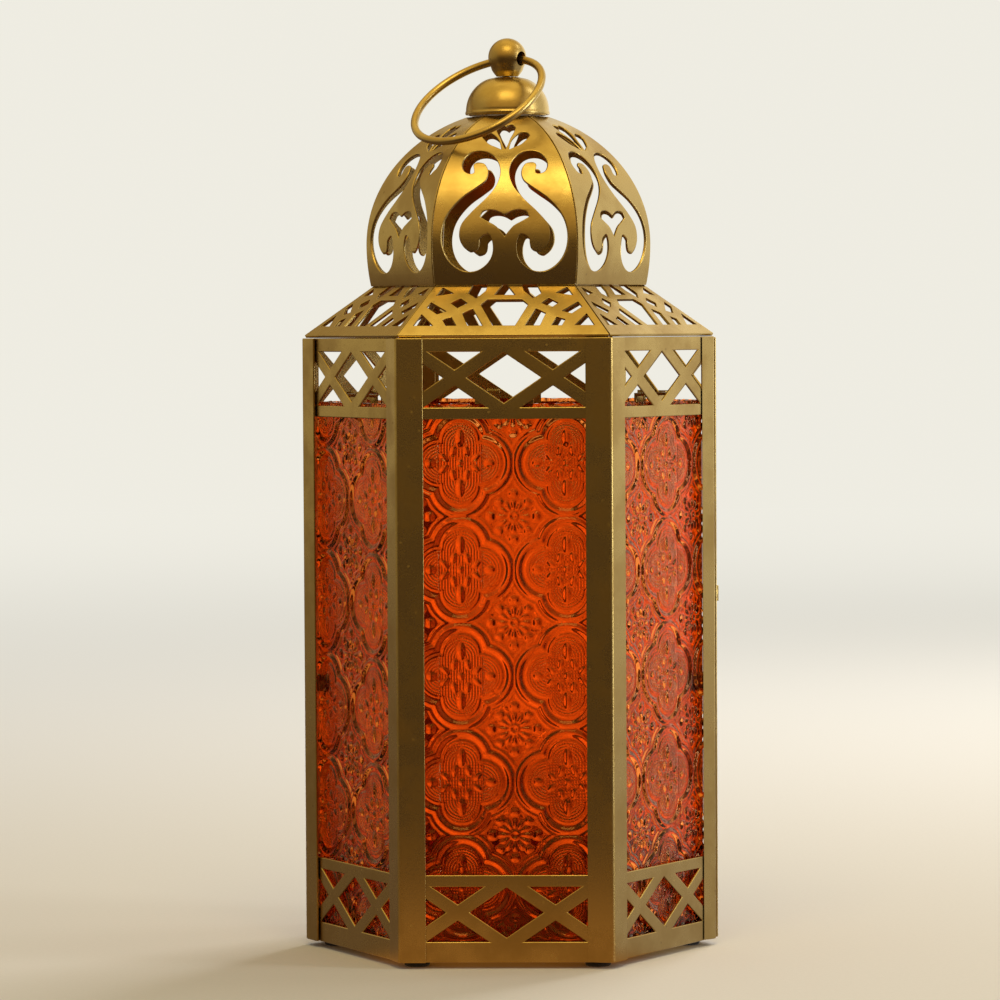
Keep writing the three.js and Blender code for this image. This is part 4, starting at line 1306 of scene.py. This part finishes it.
@dataclass
class Studio:
    """A pale floor that fades into a pale background, soft lamps and the camera."""

    pale: Colour = (0.86, 0.84, 0.76)
    behind: Colour = (0.78, 0.74, 0.64)
    behind_right: Colour = (1.35, 1.22, 0.95)
    floor_tone: Colour = (0.78, 0.72, 0.62)
    soft: Colour = (0.34, 0.33, 0.30)
    doorway: Colour = (0.20, 0.12, 0.06)
    wall: Colour = (0.60, 0.49, 0.28)
    window_side: Colour = (0.95, 0.88, 0.80)
    front_wall: Colour = (0.80, 0.54, 0.20)
    ceiling: Colour = (1.0, 0.74, 0.27)
    dim: Colour = (0.085, 0.052, 0.034)
    # Painted reflection colours that the floor glows with for glossy and transmission rays.
    painted_reflection_left: Colour = (0.18, 0.12, 0.08)
    painted_reflection_right: Colour = (0.50, 0.43, 0.40)
    painted_reflection_warm: Colour = (0.46, 0.24, 0.09)
    camera_turn: float = 1.78
    camera_place: tuple[float, float, float] = (-3.11, -1464.0, 199.5)
    camera_pitch: float = -2.19
    camera_roll: float = 0.315
    lens: float = 163.98

    def camera(self) -> None:
        """Sets the camera where the photograph was taken from."""
        turn = Matrix.Rotation(math.radians(self.camera_turn), 4, "Z")
        pitch = math.radians(self.camera_pitch)
        roll = math.radians(self.camera_roll)
        forward = Vector((0, math.cos(pitch), math.sin(pitch)))
        up = Vector((0, -math.sin(pitch), math.cos(pitch)))
        right = Vector((1, 0, 0))
        rolled_right = right * math.cos(roll) - up * math.sin(roll)
        rolled_up = right * math.sin(roll) + up * math.cos(roll)
        axes = Matrix((rolled_right, rolled_up, -forward)).transposed().to_4x4()
        data = bpy.data.cameras.new("camera")
        data.lens = self.lens
        data.sensor_width = 36.0
        data.clip_end = 50.0
        camera = bpy.data.objects.new("camera", data)
        camera.matrix_world = turn @ Matrix.Translation(Vector(self.camera_place) * MM) @ axes
        bpy.context.scene.collection.objects.link(camera)
        bpy.context.scene.camera = camera

    @staticmethod
    def _rays(g: Graph, *kinds: str) -> Wire:
        """One where a ray is of one of the named kinds."""
        outputs = g.node("ShaderNodeLightPath").socket.node.outputs
        return g.most(*[Wire(g, outputs[f"Is {kind} Ray"]) for kind in kinds])

    def _room_tone(self, g: Graph, x: Wire, y: Wire, z: Wire) -> Wire:
        """What polished metal sees of the room: wall, window side, warm ceiling, dim front.

        Args:
            g: The graph that the nodes go in.
            x: How far a direction points right.
            y: How far it points back.
            z: How far it points up.

        Returns:
            The colour's wire.
        """
        sides = g.blend(g.ramp(x, -0.45, 0.45), rgba(self.wall), rgba(self.window_side))
        doorway = g.ramp(-x, 0.18, 0.34) * (1.0 - g.ramp(-x, 0.5, 0.64)) * g.ramp(y, 0.6, 0.8)
        sides = g.blend(doorway, sides, rgba(self.doorway))
        room = g.blend(g.ramp(z, 0.3, 0.75), sides, rgba(self.ceiling))
        rise = g.blend(g.ramp(z, 0.04, 0.32), rgba(self.dim), rgba(self.front_wall))
        front = g.blend(g.ramp(z, 0.5, 0.8), rise, rgba(self.ceiling))
        return g.blend(g.ramp(-y, 0.2, 0.7), room, front)

    def _shown(self, g: Graph, tone: Wire, right: Wire, back: Wire) -> Wire:
        """Turns a tone of the room into what shows behind the lantern: brighter to the right.

        Args:
            g: The graph that the nodes go in.
            tone: The room's tone in the same direction.
            right: How far a direction points right.
            back: How far it points back.

        Returns:
            The colour's wire.
        """
        behind = g.blend(g.ramp(right, 0.03, 0.22), rgba(self.behind), rgba(self.behind_right))
        return g.blend(g.ramp(back + right * 0.45, 0.89, 0.99), tone, behind)

    def floor(self) -> None:
        """Lays a round pale floor that turns into the background's colour far out.

        For glossy and transmission rays it glows instead with painted reflections of a tabletop and the room: brown
        on the left, warm close in front, dim farther off.
        """
        shape = bmesh.new()
        bmesh.ops.create_circle(shape, cap_ends=True, segments=128, radius=9.0)
        floor = new_piece("floor", to_mesh(shape, "floor"))
        material, g = new_material("pale_floor")
        x, y, z = g.split(g.node("ShaderNodeTexCoord", output="Object"))
        reach = g.length(x, y)
        right, back = x / (reach + 0.001), y / (reach + 0.001)
        cloth = g.node("ShaderNodeTexNoise", inputs={
            "Vector": g.join(x, y, z), "Scale": 700.0, "Detail": 2.0})
        tone = g.blend(g.ramp(cloth, 0.3, 0.7) * 0.08, rgba(self.floor_tone), rgba((0.60, 0.55, 0.46)))
        cover = g.node("ShaderNodeBsdfDiffuse", inputs={"Color": tone})
        glow = g.node("ShaderNodeEmission", inputs={"Color": rgba(self.pale), "Strength": 1.0})
        seen = g.ramp(1.0 / (reach + 1.5), 0.60, 0.2) * self._rays(g, "Camera")
        pale = g.node("ShaderNodeMixShader", inputs={0: seen, 1: cover, 2: glow})
        # Painted reflection: colours that stand in for a reflected tabletop and room, brown on the left, warm close
        # in front, dim farther off.
        painted_reflection = g.blend(g.ramp(right, -0.2, 0.6), rgba(self.painted_reflection_left), rgba(self.painted_reflection_right))
        before = g.ramp(-back, 0.3, 0.75)
        painted_reflection = g.blend(before, painted_reflection, rgba(self.dim))
        painted_reflection = g.blend(before * (1.0 - g.ramp(reach, 0.17, 0.30)), painted_reflection, rgba(self.painted_reflection_warm))
        painted_reflection = g.blend(g.ramp(reach, 1.3, 6.0), painted_reflection, self._room_tone(g, right, back, z))
        far = self._shown(g, painted_reflection, right, back)
        painted_reflection = g.blend(g.ramp(reach, 0.15, 0.9), painted_reflection, far)
        # The painted reflection glows as an emission that only glossy and transmission rays see.
        mirrored = g.node("ShaderNodeEmission", inputs={"Color": painted_reflection, "Strength": 1.0})
        both = g.node("ShaderNodeMixShader", inputs={
            0: self._rays(g, "Glossy", "Transmission"), 1: pale, 2: mirrored})
        g.node("ShaderNodeOutputMaterial", inputs={"Surface": both})
        floor.data.materials.append(material)

    def world(self) -> None:
        """Lights the room: pale for the camera, soft on the floor, and the room's tone for metal."""
        world = bpy.data.worlds.new("room")
        world.use_nodes = True
        bpy.context.scene.world = world
        g = Graph(world.node_tree)
        x, y, z = g.split(g.node("ShaderNodeTexCoord", output="Generated"))
        room = self._shown(g, self._room_tone(g, x, y, z), x, y)
        lit = g.blend(self._rays(g, "Glossy", "Transmission"), rgba(self.soft), room)
        background = g.node("ShaderNodeBackground", inputs={
            "Color": g.blend(self._rays(g, "Camera"), lit, rgba(self.pale)), "Strength": 1.0})
        g.node("ShaderNodeOutputWorld", inputs={"Surface": background})

    def lamp(
        self, name: str, toward: tuple[float, float, float], size: Point, power: float, colour: Colour,
        mirrored: bool = True,
    ) -> None:
        """Hangs a soft lamp that looks at the middle of the lantern.

        Args:
            name: The lamp's name.
            toward: Its place, from the lantern's middle, in metres.
            size: Its width and height in metres.
            power: Its power in watts.
            colour: Its colour.
            mirrored: Whether polished metal shows it.
        """
        data = bpy.data.lights.new(name, "AREA")
        data.shape = "RECTANGLE"
        data.size, data.size_y = size
        data.energy = power
        data.color = colour
        lamp = bpy.data.objects.new(name, data)
        target = Vector((0, 0, 0.15))
        lamp.location = target + Vector(toward)
        lamp.rotation_euler = (target - lamp.location).to_track_quat("-Z", "Y").to_euler()
        lamp.visible_camera = False
        lamp.visible_transmission = False
        lamp.visible_glossy = mirrored
        bpy.context.scene.collection.objects.link(lamp)

    def build(self) -> None:
        """Sets up the whole studio."""
        bpy.context.scene.view_settings.view_transform = "Standard"
        self.camera()
        self.floor()
        self.world()
        self.lamp("ceiling_front", (0.0, -0.65, 1.0), (0.7, 0.5), 3.2, (1.0, 0.80, 0.34))
        self.lamp("ceiling", (0.1, 0.2, 1.3), (1.1, 0.7), 1.25, (1.0, 0.78, 0.32))
        self.lamp("window", (0.62, 1.05, 0.72), (0.6, 0.7), 13.0, (0.97, 0.97, 1.0), mirrored=False)
        self.lamp("window_gleam", (0.75, 0.25, 0.95), (0.25, 0.25), 0.7, (0.93, 0.97, 1.0))
        self.lamp("window_edge", (1.15, -0.32, 0.25), (0.26, 0.9), 3.5, (0.95, 0.98, 1.0))


def main() -> None:
    """Builds the object, piece by piece, and the studio round it."""
    logging.basicConfig(level=logging.INFO, format="%(name)s %(message)s")
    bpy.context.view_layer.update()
    Studio().build()
    finishes = Finishes()
    sheets = SheetPieces(finishes)
    sheets.build()
    Roof(sheets).build()
    Dome(finishes).build()
    Glazing(finishes).build()
    Finial(finishes).build()
    Fittings(finishes, sheets).build()


if __name__ == "__main__":
    main()
